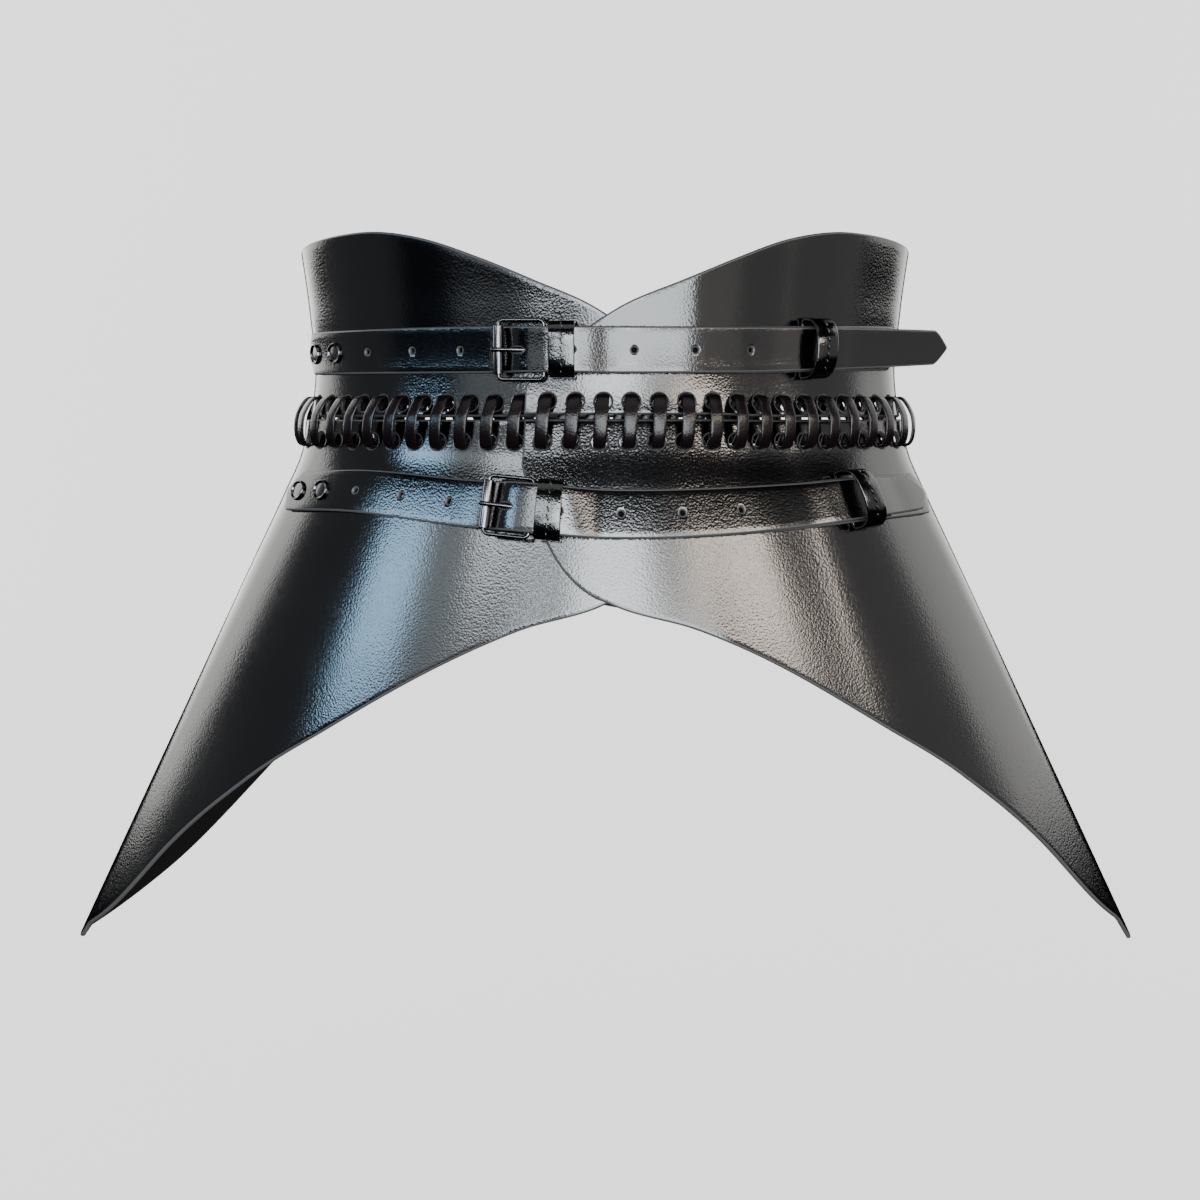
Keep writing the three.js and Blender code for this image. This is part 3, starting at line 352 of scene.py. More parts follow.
def thick_sheet(name, build, place, thickness, materials):
    """A leather sheet with rounded edges. build(inset) gives the flat pattern's points with every
    cut edge drawn in by inset, and its quads; place(points, depth) bends it. The pattern is laid
    at several depths, and its cut edges are joined through them along a rounded profile."""
    turn = np.radians([0, 45, 90])
    curve = [(EDGE_ROUND * (1 - np.sin(t)), EDGE_ROUND * (1 - np.cos(t))) for t in turn]
    profile = curve + [(inset, thickness - depth) for inset, depth in reversed(curve)]
    flat, faces = build(0.0)
    _, first, weld = np.unique(np.round(flat, 3), axis=0, return_index=True, return_inverse=True)
    faces = weld.ravel()[faces]
    faces = faces[(faces[:, 0] != faces[:, 1]) & (faces[:, 2] != faces[:, 3])]
    layers = [place(build(inset)[0][first], depth) for inset, depth in profile]
    count, last = len(first), len(profile) - 1
    edges = np.stack([faces, np.roll(faces, -1, 1)], -1).reshape(-1, 2)
    key = np.sort(edges, 1) @ np.array([count, 1])
    _, where, used = np.unique(key, return_inverse=True, return_counts=True)
    a, b = edges[used[where.ravel()] == 1].T
    rims = [np.stack([b + (k + 1) * count, a + (k + 1) * count, a + k * count, b + k * count], -1)
            for k in range(last)]
    every = np.concatenate([faces + last * count, faces[:, ::-1], *rims])
    slots = np.concatenate([np.zeros(len(faces)), np.ones(len(faces)),
                            np.full(len(a) * last, 2)]).astype(int)
    kept, index = np.unique(every, return_inverse=True)
    points = np.concatenate(layers)[kept] * MM
    sheet = add_mesh(name, points, index.reshape(-1, 4), materials, slots)
    sheet.modifiers.new("even_shading", "WEIGHTED_NORMAL").keep_sharp = False
    return sheet


def panel_pattern(edge_at, strip_near, strip_far, hole_height, hole_shift, rows, upward, inset):
    """A panel of the wrap laid flat, length along the seam against height: holed cells along the
    seam, then rows that go evenly from them to the free edge."""
    ends = [WRAP_START + inset, STITCHES[0] - STITCH_PITCH / 2]
    tail = STITCHES[-1] + STITCH_PITCH / 2
    count = int(np.ceil((WRAP_END - tail) / STITCH_PITCH))
    bounds_after = tail + (WRAP_END - inset - tail) * np.arange(1, count + 1) / count
    left = np.concatenate([[ends[0]], STITCHES - STITCH_PITCH / 2, [tail], bounds_after[:-1]])
    right = np.concatenate([[ends[1]], STITCHES + STITCH_PITCH / 2, bounds_after])
    holed = np.zeros(len(left), bool)
    holed[1:1 + len(STITCHES)] = True
    near = strip_near + (inset if upward else -inset)
    ring = unit_ring(CELL_STEPS)

    def strip(cell, unit):
        across = left[cell][:, None] + (right - left)[cell][:, None] * unit[None, :, 0]
        up = near + (strip_far - near) * unit[None, :, 1]
        return np.stack([across, np.broadcast_to(up, across.shape)], -1)

    centre = np.stack([STITCHES + hole_shift, np.full(len(STITCHES), hole_height)], -1)
    cells = holed_cells(strip(holed, ring), centre, LACE_HOLE_RADIUS, inset)
    lattice = np.stack(np.meshgrid(*2 * [np.linspace(0, 1, CELL_STEPS + 1)]), -1).reshape(-1, 2)
    plain = strip(~holed, lattice)
    share = np.linspace(0, 1, CELL_STEPS + 1)[:-1]
    columns = np.append((left[:, None] + (right - left)[:, None] * share).ravel(), right[-1])
    edge = edge_at(columns)
    drawn_in = inset * np.sqrt(1 + np.gradient(edge, columns)**2)
    edge = edge + (-drawn_in if upward else drawn_in)
    rows_at = np.linspace(0, 1, rows + 1)[:, None]
    field = np.stack([np.broadcast_to(columns, (rows + 1, len(columns))),
                      strip_far + (edge - strip_far) * rows_at], -1)
    points = [cells.reshape(-1, 2), plain.reshape(-1, 2), field.reshape(-1, 2)]
    square = grid_faces(CELL_STEPS + 1, CELL_STEPS + 1)
    faces = [cell_faces(len(cells), len(HOLE_RINGS), len(ring)),
             (square[None] + (np.arange(len(plain)) * len(lattice))[:, None, None]).reshape(-1, 4),
             grid_faces(rows + 1, len(columns))]
    if not upward:
        faces = [face[:, ::-1] for face in faces]
    starts = np.cumsum([0] + [len(part) for part in points[:-1]])
    return np.concatenate(points), np.concatenate([f + s for f, s in zip(faces, starts)])


def leather(name, colour, roughness, grain, depth, **constants):
    """Finished leather: a pebble grain of soft cells, broken up by finer creases, with a gloss
    that drifts slowly over the hide."""
    material = surface_material(name, colour, roughness, **constants)
    tree = material.node_tree
    shader = tree.nodes["Principled BSDF"]
    place = tree.nodes.new("ShaderNodeTexCoord")
    pebble = tree.nodes.new("ShaderNodeTexVoronoi")
    pebble.feature = "SMOOTH_F1"
    pebble.inputs["Scale"].default_value = 1 / (grain * MM)
    pebble.inputs["Smoothness"].default_value = 0.6
    crease = tree.nodes.new("ShaderNodeTexNoise")
    crease.inputs["Scale"].default_value = 1.1 / (grain * MM)
    crease.inputs["Detail"].default_value = 5
    crease.inputs["Roughness"].default_value = 0.7
    blend = tree.nodes.new("ShaderNodeMix")
    blend.inputs[0].default_value = 0.35
    bump = tree.nodes.new("ShaderNodeBump")
    bump.inputs["Strength"].default_value = 1.0
    bump.inputs["Distance"].default_value = depth * MM
    bump.invert = True
    drift = tree.nodes.new("ShaderNodeTexNoise")
    drift.inputs["Scale"].default_value = 22
    drift.inputs["Detail"].default_value = 3
    polish = tree.nodes.new("ShaderNodeMapRange")
    polish.inputs["From Min"].default_value = 0.3
    polish.inputs["From Max"].default_value = 0.7
    polish.inputs["To Min"].default_value = roughness - 0.02
    polish.inputs["To Max"].default_value = roughness + 0.03
    link = tree.links.new
    for texture in (pebble, crease, drift):
        link(place.outputs["Object"], texture.inputs["Vector"])
    link(pebble.outputs["Distance"], blend.inputs[2])
    link(crease.outputs["Fac"], blend.inputs[3])
    link(blend.outputs[0], bump.inputs["Height"])
    link(bump.outputs["Normal"], shader.inputs["Normal"])
    link(drift.outputs["Fac"], polish.inputs["Value"])
    link(polish.outputs["Result"], shader.inputs["Roughness"])
    return material


BLACK = (0.0004, 0.0004, 0.0006, 1)
panel_leather = leather("panel_leather", BLACK, 0.12, 0.88, 0.052)
flesh_side = surface_material("flesh_side", (0.0015, 0.0015, 0.0015, 1), 0.9, Specular_IOR_Level=0.12)
# The cut edges' finish is glossy black edge paint. Its colour is lightened to a dark grey as a painted
# highlight, so the burnished edges show the thin light lines they catch.
edge_paint_and_painted_highlight = surface_material("edge_paint_and_painted_highlight", (0.03, 0.03, 0.031, 1), 0.4, Specular_IOR_Level=0.35)
PANEL_FINISH = [panel_leather, flesh_side, edge_paint_and_painted_highlight]


def top_height(length):
    """The band's top edge above the seam at a length along it."""
    return BAND_HEIGHT * top_share(from_end(length))


def band_pattern(inset):
    """The waist band laid flat."""
    strip_top = LACE_HOLE_HEIGHT + LACE_HOLE_RADIUS + STRIP_MARGIN
    return panel_pattern(top_height, SEAM_GAP, strip_top, LACE_HOLE_HEIGHT, LACE_SLANT,
                         BAND_ROWS, True, inset)


def drawn_band(points, depth):
    """The band bent round the wrap. The lace draws it in at the seam, not at the lapping front."""
    length, height = points.T
    drawn = BAND_DRAWN_IN * np.clip(1 - height / BAND_DRAWN_HEIGHT, 0, 1)**2
    along = smooth_step((length - BAND_DRAWN_FROM) / BAND_DRAWN_RAMP)
    return wrap_point(length, height, depth - drawn * along)


waist_band = thick_sheet("band_leather", band_pattern, drawn_band, LEATHER, PANEL_FINISH)
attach(waist_band, "root")
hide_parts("waist_band")


# The peplum: a flared strip of the same leather, cut so that its hem is short at the middle of
# the front and falls to a sharp point at each side. Its upper edge is punched for the lace.
PEPLUM_ROWS = 44
PEPLUM_DRAWN_IN = 2.0
PEPLUM_DRAWN_DROP = 33.0
PEPLUM_DRAWN_TO = 150.0
PEPLUM_DRAWN_RAMP = 60.0
HEM_ALONG = (0, 0.014, 0.04, 0.071, 0.1, 0.18, 0.26, 0.335, 0.4, 0.455, 0.487, 0.579, 0.635, 0.705,
             0.8, 0.93, 1.101)
HEM_LEFT = (0.08, 0.132, 0.222, 0.287, 0.315, 0.362, 0.44, 0.542, 0.65, 0.793, 0.925, 1.0, 0.995,
            0.9, 0.63, 0.475, 0.4)
HEM_RIGHT = (0.08, 0.132, 0.222, 0.287, 0.315, 0.362, 0.44, 0.542, 0.65, 0.793, 0.925, 1.0, 0.965,
             0.78, 0.625, 0.475, 0.4)
hem_left, hem_right = smooth_table(HEM_ALONG, HEM_LEFT), smooth_table(HEM_ALONG, HEM_RIGHT)


def hem_height(length):
    """The hem below the seam at a length along it, by the left or the right column."""
    along = from_end(length)
    return -PEPLUM_DROP * np.where(length < HALF_GIRTH, hem_right(along), hem_left(along))


def peplum_pattern(inset):
    """The peplum laid flat."""
    strip_foot = -LACE_HOLE_DROP - LACE_HOLE_RADIUS - STRIP_MARGIN
    return panel_pattern(hem_height, 0.0, strip_foot, -LACE_HOLE_DROP, -LACE_SLANT,
                         PEPLUM_ROWS, False, inset)


def drawn_peplum(points, depth):
    """The peplum bent round the wrap. The lace draws its lapping right part in at the seam."""
    length, height = points.T
    drawn = PEPLUM_DRAWN_IN * np.clip(1 + height / PEPLUM_DRAWN_DROP, 0, 1)**2
    along = smooth_step((PEPLUM_DRAWN_TO - length) / PEPLUM_DRAWN_RAMP)
    return wrap_point(length, height, depth - drawn * along)


peplum = thick_sheet("peplum_leather", peplum_pattern, drawn_peplum, LEATHER, PANEL_FINISH)
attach(peplum, "root")
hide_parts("peplum")


# The lacing: one flat leather lace that comes out of each hole of the band, bows over the seam
# and goes in at the hole of the peplum below it, then slants up behind to the next pair.
LACE_ROUND = 0.42
LACE_SIDES = 14
LACE_CUTS = 3
TURN_HEIGHT = (7.4, 8.9, 8.6, 4.6, -0.8, -6.4, -10.7, -11.0, -9.6)
TURN_STANDOFF = (-1.3, 1.2, 4.2, 6.0, 6.5, 6.0, 4.2, 1.2, -1.3)
TURN_WIDTH = (0.82, 0.84, 0.92, 1.0, 1.0, 1.0, 0.92, 0.84, 0.82)
TURN_SLANT = (1, 1, 0.9, 0.5, 0, -0.5, -0.9, -1, -1)


def lace_stations():
    """Length, height, standoff and half width at each station of every stitch, in order."""
    length = STITCHES[:, None] + LACE_SLANT * np.array(TURN_SLANT)
    parts = [length, np.array(TURN_HEIGHT), np.array(TURN_STANDOFF), LACE_WIDTH / 2 * np.array(TURN_WIDTH)]
    return np.stack(np.broadcast_arrays(*parts), -1).reshape(-1, 4)


def cut_corners(points, times):
    """A polyline with each corner replaced by points a quarter of the way along its two sides."""
    for _ in range(times):
        quarter = points[:-1] * 0.75 + points[1:] * 0.25
        three = points[:-1] * 0.25 + points[1:] * 0.75
        middle = np.stack([quarter, three], 1).reshape(-1, points.shape[1])
        points = np.concatenate([points[:1], middle, points[-1:]])
    return points


def lacing():
    """A flat oval section, with its width along the seam, carried along the rounded path."""
    path = cut_corners(lace_stations(), LACE_CUTS)
    run = np.gradient(path[:, 1:3], axis=0)
    run /= np.linalg.norm(run, axis=1, keepdims=True)
    turn = 2 * np.pi * np.arange(LACE_SIDES) / LACE_SIDES
    wide = np.sign(np.cos(turn)) * np.abs(np.cos(turn))**LACE_ROUND
    thick = np.sign(np.sin(turn)) * np.abs(np.sin(turn))**0.8 * LACE_THICKNESS / 2
    length = path[:, :1] + wide * path[:, 3:]
    height = path[:, 1:2] - thick * run[:, 1:]
    standoff = path[:, 2:3] + thick * run[:, :1]
    points = wrap_point(length, height, standoff).reshape(-1, 3) * MM
    return points, grid_faces(len(path), LACE_SIDES, close_columns=True)


lace_points, lace_faces = lacing()
lace_leather = leather("lace_leather", (0.0022, 0.0012, 0.0016, 1), 0.24, 0.8, 0.07,
                       Specular_IOR_Level=0.2)
lace = add_mesh("lace_ribbon", lace_points, lace_faces, [lace_leather])
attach(lace, "root")
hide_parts("lacing")


# The punched straps: a long strip of the same leather at each level, riveted to the inner layer at
# the left, led over the buckle's roller and bar, and lying on the buckle strap to its pointed tip.
STRAP_WIDTH = 18.0
STRAP_LEATHER = 2.0
BUCKLE_STRAP_LEATHER = 1.6
STRAP_HOLE_RADIUS = 1.75
STRAP_HOLE_PITCH = 23.0
HOLES_LEFT = 3
HOLES_RIGHT = 4
FIRST_RIVET = 20.0
RIVET_PITCH = 15.5
END_MARGIN = 10.5
PRONG_HOLE_REACH = 35.0
PRONG_HOLE_LENGTH = 8.0
PRONG_HOLE_SHIFT = 3.2
STRAP_TIP_LENGTH = 192.5
STRAP_POINT = 7.5
WIRE_RADIUS = 0.8
ROLLER_RADIUS = 2.0
BUCKLE_OPENING = 21.0
BAR_SPACING = 18.0
ROLLER_SHIFT = 5.5
KEEPER_WIDTH = 9.5
KEEPER_LEATHER = 1.2
FIXED_KEEPER_SHIFT = 19.5
LINE_STANDOFF = 6.0
LINE_FROM, LINE_TO, LINE_STEP = -0.58, 0.66, 1.0
TAPER_ALONG = (0, 0.7, 0.86, 1)
TAPER_HALF = (1, 1, 0.93, 0.8)
POINT_BLUNT = 0.4
COLUMN_STEP = 1.0
BEND_STEP = 0.4
ON_INNER = LEATHER + GAP
ON_OUTER = LAYER_RISE + LEATHER + GAP
HOOK_INSIDE = WIRE_RADIUS + GAP
BAR_STANDOFF = ON_OUTER + BUCKLE_STRAP_LEATHER + HOOK_INSIDE
HOOK_TOP = BAR_STANDOFF + HOOK_INSIDE + BUCKLE_STRAP_LEATHER + GAP
UNDER_ROLLER = BAR_STANDOFF - ROLLER_RADIUS - GAP - STRAP_LEATHER
HINGE = BAR_SPACING - ROLLER_SHIFT
OVER_KEEPER = KEEPER_LEATHER + GAP
PRONG_HOLE_RISE = 0.68


class StrapLine:
    """One strap level round the waist. Lengths along it start at the prong's hole, across is
    upwards and standoff is the distance out from the wall's inner face."""

    def __init__(self, along, share, height):
        line = smooth_table(along, share)
        self.height_at = lambda length: height * line(length / HALF_GIRTH)
        self.lengths = np.arange(LINE_FROM * HALF_GIRTH, LINE_TO * HALF_GIRTH, LINE_STEP)
        points = wall_point(self.lengths, self.height_at(self.lengths), LINE_STANDOFF)
        run = np.append(0, np.cumsum(np.linalg.norm(np.diff(points, axis=0), axis=1)))
        self.alongs = run - np.interp(-PRONG_HOLE_REACH, self.lengths, run)

    def place(self, along, across, standoff):
        length = np.interp(along, self.alongs, self.lengths)
        middle = self.height_at(length)
        apart = wall_point(length, middle + 1, 0) - wall_point(length, middle, 0)
        rise = np.linalg.norm(apart, axis=-1)
        return wall_point(length, middle + across / rise, standoff)

    def panel_face(self, along):
        """Standoff just above the panel, which rises where its outer layer covers the inner."""
        length = np.interp(along, self.alongs, self.lengths)
        return LEATHER + np.where(length > WRAP_START, layer_rise(length), 0) + GAP

    def frame_at(self, along, standoff):
        """A point of the line and three unit vectors there: along, across and outwards."""
        centre = self.place(along, 0, standoff)
        x = self.place(along + 1, 0, standoff) - self.place(along - 1, 0, standoff)
        x /= np.linalg.norm(x)
        z = np.cross(x, self.place(along, 1, standoff) - centre)
        z /= np.linalg.norm(z)
        return centre, np.stack([x, np.cross(z, x), z])


UPPER_ALONG = (-0.6, -0.25, 0.17, 0.3, 0.42, 0.6)
UPPER_SHARE = (1.01, 1.0, 0.995, 1.04, 1.08, 1.1)
LOWER_ALONG = (-0.6, -0.42, -0.3, -0.13, 0, 0.11, 0.22, 0.32, 0.42, 0.6)
LOWER_SHARE = (-0.86, -0.83, -0.79, -0.908, -1, -0.99, -0.93, -0.88, -0.855, -0.86)
LEVELS = {
    "upper": {"line": StrapLine(UPPER_ALONG, UPPER_SHARE, 27.3), "end_keeper": 122.0,
              "buckle_strap_end": 178.0, "straight_from": 122.0, "lean": 0.0},
    "lower": {"line": StrapLine(LOWER_ALONG, LOWER_SHARE, 36.9), "end_keeper": 148.0,
              "buckle_strap_end": 200.0, "straight_from": np.inf, "lean": 0.05},
}


def keeper_hump(along, level):
    """The straps rise over the foot of the end keeper that is looped round them."""
    beyond = np.abs(along - level["end_keeper"]) - KEEPER_WIDTH / 2
    return OVER_KEEPER * smooth_step(1 - beyond / (2 * KEEPER_WIDTH))


def billet_path(level):
    """Along and standoff of the punched strap's underside, as a smooth curve in small steps."""
    start = -HOLES_LEFT * STRAP_HOLE_PITCH - FIRST_RIVET - RIVET_PITCH - END_MARGIN
    on_bar = UNDER_ROLLER + (HOOK_TOP - UNDER_ROLLER) * PRONG_HOLE_RISE
    rows = [(start, ON_INNER), (start + 40, ON_INNER), (-BAR_SPACING - ROLLER_SHIFT, ON_INNER),
            (-ROLLER_SHIFT - ROLLER_RADIUS, UNDER_ROLLER - GAP),
            (-ROLLER_SHIFT + ROLLER_RADIUS, UNDER_ROLLER), (PRONG_HOLE_SHIFT, on_bar),
            (HINGE - WIRE_RADIUS, HOOK_TOP), (FIXED_KEEPER_SHIFT + KEEPER_WIDTH / 2, HOOK_TOP - GAP)]
    lying = np.arange(FIXED_KEEPER_SHIFT + 2 * KEEPER_WIDTH, STRAP_TIP_LENGTH + 10, KEEPER_WIDTH)
    stack = level["line"].panel_face(lying) + BUCKLE_STRAP_LEATHER + GAP + keeper_hump(lying, level)
    rows = np.concatenate([rows, np.stack([lying, stack], -1)])
    along = np.arange(start, STRAP_TIP_LENGTH + 2, 0.5)
    return np.stack([along, smooth_table(rows[:, 0], rows[:, 1])(along)], -1)


def bent_strip(line, path, straight_from, lean_at):
    """place(points, depth) for a strip laid along a path: the points' first column runs along
    the path, the second across it, and depth moves out at right angles to both. Past
    straight_from the strip goes on straight instead of round the waist, and lean_at tells how
    steeply it stands off the panel from its upper edge down."""
    run = np.append(0, np.cumsum(np.hypot(*np.diff(path, axis=0).T)))

    def spot(u):
        return np.stack([np.interp(u, run, path[:, 0]), np.interp(u, run, path[:, 1])])

    def place(points, depth):
        u, across = points.T
        ahead = spot(u + BEND_STEP) - spot(u - BEND_STEP)
        ahead /= np.hypot(*ahead)
        along, standoff = spot(u) + depth * np.stack([-ahead[1], ahead[0]])
        standoff = standoff + lean_at(along) * (STRAP_WIDTH / 2 - across)
        near = np.minimum(along, straight_from)
        here = line.place(near, across, standoff)
        heading = here - line.place(near - 1, across, standoff)
        heading /= np.linalg.norm(heading, axis=-1, keepdims=True)
        return here + heading * (along - near)[:, None]

    return place, run


def point_half(u, half, end, inset):
    """Half width of a strap at distances u short of its pointed end: full until the point, then
    drawn in along a curve that leaves the sides smoothly."""
    share = np.clip((end - u) / STRAP_POINT, 0, 1)
    width = half * (1 - (1 - share)**1.35)
    slope = half * 1.35 * (1 - share)**0.35 / STRAP_POINT
    return np.maximum(width - inset * np.sqrt(1 + slope**2), 0.12)


def strap_pattern(start, end, half_at, holes, inset):
    """A punched strap laid flat: holed cells, and plain cells in between. holes has the columns
    place, half of the cell's length, and the hole's radii along and across."""
    first, last = start + inset, end - inset
    left, right = holes[:, 0] - holes[:, 1], holes[:, 0] + holes[:, 1]
    ring = unit_ring(CELL_STEPS)
    u = left[:, None] + (right - left)[:, None] * ring[None, :, 0]
    corners = np.stack([u, half_at(u, inset) * (2 * ring[None, :, 1] - 1)], -1)
    centre = np.stack([holes[:, 0], np.zeros(len(holes))], -1)
    cells = holed_cells(corners, centre, holes[:, None, 2:], inset)
    points, faces = [cells.reshape(-1, 2)], [cell_faces(len(cells), len(HOLE_RINGS), len(ring))]
    share = np.linspace(-1, 1, CELL_STEPS + 1)
    counts = np.ceil((np.append(left, end) - np.append(start, right)) / COLUMN_STEP).astype(int) + 1
    for a, b, count in zip(np.append(first, right), np.append(left, last), counts):
        columns = np.linspace(a, b, count)
        across = half_at(columns, inset) * share[:, None]
        faces.append(grid_faces(len(share), len(columns)) + sum(len(part) for part in points))
        points.append(np.stack([np.broadcast_to(columns, across.shape), across], -1).reshape(-1, 2))
    return np.concatenate(points), np.concatenate(faces)


strap_leather = leather("strap_leather", BLACK, 0.13, 0.85, 0.056)
STRAP_FINISH = [strap_leather, flesh_side, edge_paint_and_painted_highlight]


def billet_strap(name, level):
    """The punched strap of one level."""
    path = billet_path(level)
    free_from = FIXED_KEEPER_SHIFT + KEEPER_WIDTH / 2
    lean_at = lambda at: level["lean"] * (smooth_step((at - free_from) / KEEPER_WIDTH)
                                          * smooth_step((level["end_keeper"] - at) / (2 * KEEPER_WIDTH)))
    place, run = bent_strip(level["line"], path, level["straight_from"], lean_at)
    end = np.interp(STRAP_TIP_LENGTH, path[:, 0], run)
    taper = smooth_table(TAPER_ALONG, TAPER_HALF)

    def half_at(u, inset):
        half = STRAP_WIDTH / 2 * taper(u / end)
        return np.minimum(point_half(u, half, end, inset), point_half(-u, half, 0, inset))

    k = np.arange(-HOLES_LEFT, HOLES_RIGHT + 1)
    prong = k == 0
    along = np.interp(k * STRAP_HOLE_PITCH + np.where(prong, PRONG_HOLE_SHIFT, 0), path[:, 0], run)
    cell = np.where(prong, PRONG_HOLE_LENGTH / 2 + 1, 2 * STRAP_HOLE_RADIUS)
    long = np.where(prong, PRONG_HOLE_LENGTH / 2, STRAP_HOLE_RADIUS) - EDGE_ROUND
    holes = np.stack([along, cell, long, np.full(len(k), STRAP_HOLE_RADIUS - EDGE_ROUND)], -1)
    build = lambda inset: strap_pattern(POINT_BLUNT, end - POINT_BLUNT, half_at, holes, inset)
    return thick_sheet(name, build, place, STRAP_LEATHER, STRAP_FINISH)


for level_name, level in LEVELS.items():
    strap = billet_strap(f"{level_name}_punched_strap", level)
    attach(strap, "root")
    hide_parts(f"{level_name}_billet_strap")


# The buckle straps: a slightly wider strip at each level, folded round the buckle's bar with a
# slot for the prong, sewn into its keeper and lying on the wrap's outer layer to a pointed end.
BUCKLE_STRAP_WIDTH = 18.6
PRONG_BASE_RADIUS = 0.6
BARE_END = 35.0


def buckle_path(level):
    """Along and standoff of the buckle strap's inner side: half a turn round the bar from below,
    then smoothly down onto the panel."""
    turn = -np.pi / 2 - np.pi * np.linspace(0, 1, 17)
    hook = np.stack([HINGE + HOOK_INSIDE * np.cos(turn), BAR_STANDOFF + HOOK_INSIDE * np.sin(turn)], -1)
    slot_end = HINGE + 2 * (PRONG_BASE_RADIUS + HOOK_INSIDE)
    rows = [(HINGE, BAR_STANDOFF + HOOK_INSIDE), (slot_end, BAR_STANDOFF + HOOK_INSIDE - GAP / 2),
            (FIXED_KEEPER_SHIFT + KEEPER_WIDTH / 2, ON_OUTER + OVER_KEEPER)]
    end = level["buckle_strap_end"]
    lying = np.arange(FIXED_KEEPER_SHIFT + 2 * KEEPER_WIDTH, end + 10, KEEPER_WIDTH)
    stack = level["line"].panel_face(lying) + keeper_hump(lying, level)
    rows = np.concatenate([rows, np.stack([lying, stack], -1)])
    along = np.arange(HINGE + 0.5, end + 0.5, 0.5)
    lying_path = np.stack([along, smooth_table(rows[:, 0], rows[:, 1])(along)], -1)
    lead = [(HINGE + HOOK_INSIDE, BAR_STANDOFF - HOOK_INSIDE)]
    return np.concatenate([lead, hook, lying_path])


def buckle_strap_pattern(end, slot_end, inset):
    """The buckle strap laid flat: a grid with a slot cut out of its first columns."""
    slot = PRONG_BASE_RADIUS + 2 * GAP + inset
    before = np.linspace(inset, slot_end + inset, 12)
    after = np.linspace(slot_end + inset, end - POINT_BLUNT - inset, int(end / COLUMN_STEP))[1:]
    columns = np.concatenate([before, after])
    half = point_half(columns, BUCKLE_STRAP_WIDTH / 2, end, inset)
    share = np.linspace(0, 1, 5)
    inner = np.minimum(slot, half * 0.5)
    upper = inner + (half - inner) * share[:, None]
    across = np.concatenate([-upper[::-1], upper])
    faces = grid_faces(len(across), len(columns))
    row, column = np.divmod(np.arange(len(faces)), len(columns) - 1)
    faces = faces[~((row == 4) & (column < len(before) - 1))]
    points = np.stack([np.broadcast_to(columns, across.shape), across], -1).reshape(-1, 2)
    return points, faces


for level_name, level in LEVELS.items():
    path = buckle_path(level)
    place, run = bent_strip(level["line"], path, np.inf, lambda at: 0 * at)
    slot_end = run[18] + 2 * (PRONG_BASE_RADIUS + HOOK_INSIDE) - 0.5
    build = lambda inset: buckle_strap_pattern(run[-1], slot_end, inset)
    strap = thick_sheet(f"{level_name}_under_strap", build, place, BUCKLE_STRAP_LEATHER, STRAP_FINISH)
    flat, faces = build(0.0)
    covered = flat[faces].mean(1)[:, 0] < run[-1] - BARE_END
    slots = np.zeros(len(strap.data.polygons), np.int32)
    strap.data.polygons.foreach_get("material_index", slots)
    slots[:len(faces)] = covered
    strap.data.polygons.foreach_set("material_index", slots)
    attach(strap, "root")
    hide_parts(f"{level_name}_buckle_strap")


# The buckles: a rounded wire frame of polished black nickel round a free-turning roller, and a
# straight wire prong curled round the hinge bar, its tip resting on the roller.
FRAME_CORNER = 2.0
WIRE_SIDES = 20
ROLLER_SIDES = 40
PRONG_RADIUS = 0.9
CURL_START = np.radians(-170)
CURL_TURN = np.radians(260)
PRONG_REACH = (0.28, 0.1, -0.1, -0.5, -0.58, -0.611)
PRONG_HEIGHT = (0.11, 0.36, 0.58, 1.0, 0.95, 0.877)
PRONG_THICKNESS = (1, 1, 1, 1, 0.93, 0.55)


def metal(name, colour, roughness):
    """Polished plated metal with the faint unevenness of its plating."""
    material = surface_material(name, colour, roughness, Metallic=1.0)
    tree = material.node_tree
    place = tree.nodes.new("ShaderNodeTexCoord")
    noise = tree.nodes.new("ShaderNodeTexNoise")
    noise.inputs["Scale"].default_value = 900
    bump = tree.nodes.new("ShaderNodeBump")
    bump.inputs["Strength"].default_value = 0.15
    bump.inputs["Distance"].default_value = 0.03 * MM
    tree.links.new(place.outputs["Object"], noise.inputs["Vector"])
    tree.links.new(noise.outputs["Fac"], bump.inputs["Height"])
    tree.links.new(bump.outputs["Normal"], tree.nodes["Principled BSDF"].inputs["Normal"])
    return material


black_metal = metal("black_metal", (0.075, 0.075, 0.078, 1), 0.16)


def wire(path, radius, fixed, closed):
    """Points and faces of a round wire along a path. fixed is a direction at right angles to the
    whole path, and the ring's other axis is the one at right angles to it and to the path."""
    if closed:
        heading = np.roll(path, -1, 0) - np.roll(path, 1, 0)
    else:
        heading = np.gradient(path, axis=0)
    other = np.cross(heading, fixed)
    other /= np.linalg.norm(other, axis=1, keepdims=True)
    turn = 2 * np.pi * np.arange(WIRE_SIDES) / WIRE_SIDES
    ring = np.cos(turn)[None, :, None] * other[:, None] + np.sin(turn)[None, :, None] * np.array(fixed)
    points = path[:, None] + np.broadcast_to(radius, len(path))[:, None, None] * ring
    faces = grid_faces(len(path), WIRE_SIDES, close_rows=closed, close_columns=True)
    return points.reshape(-1, 3), faces


def lathe(profile, sides, upright):
    """Points and faces of a profile of (radius, height) turned about an axis: the third where it
    stands upright, as for the rivets, or else the second, as for the roller."""
    turn = 2 * np.pi * np.arange(sides) / sides
    radius, height = np.array(profile).T
    x, y = radius[:, None] * np.cos(turn), radius[:, None] * np.sin(turn)
    z = np.broadcast_to(height[:, None], x.shape)
    points = np.stack([x, y, z] if upright else [y, z, x], -1)
    return points.reshape(-1, 3), grid_faces(len(profile), sides, close_columns=True)


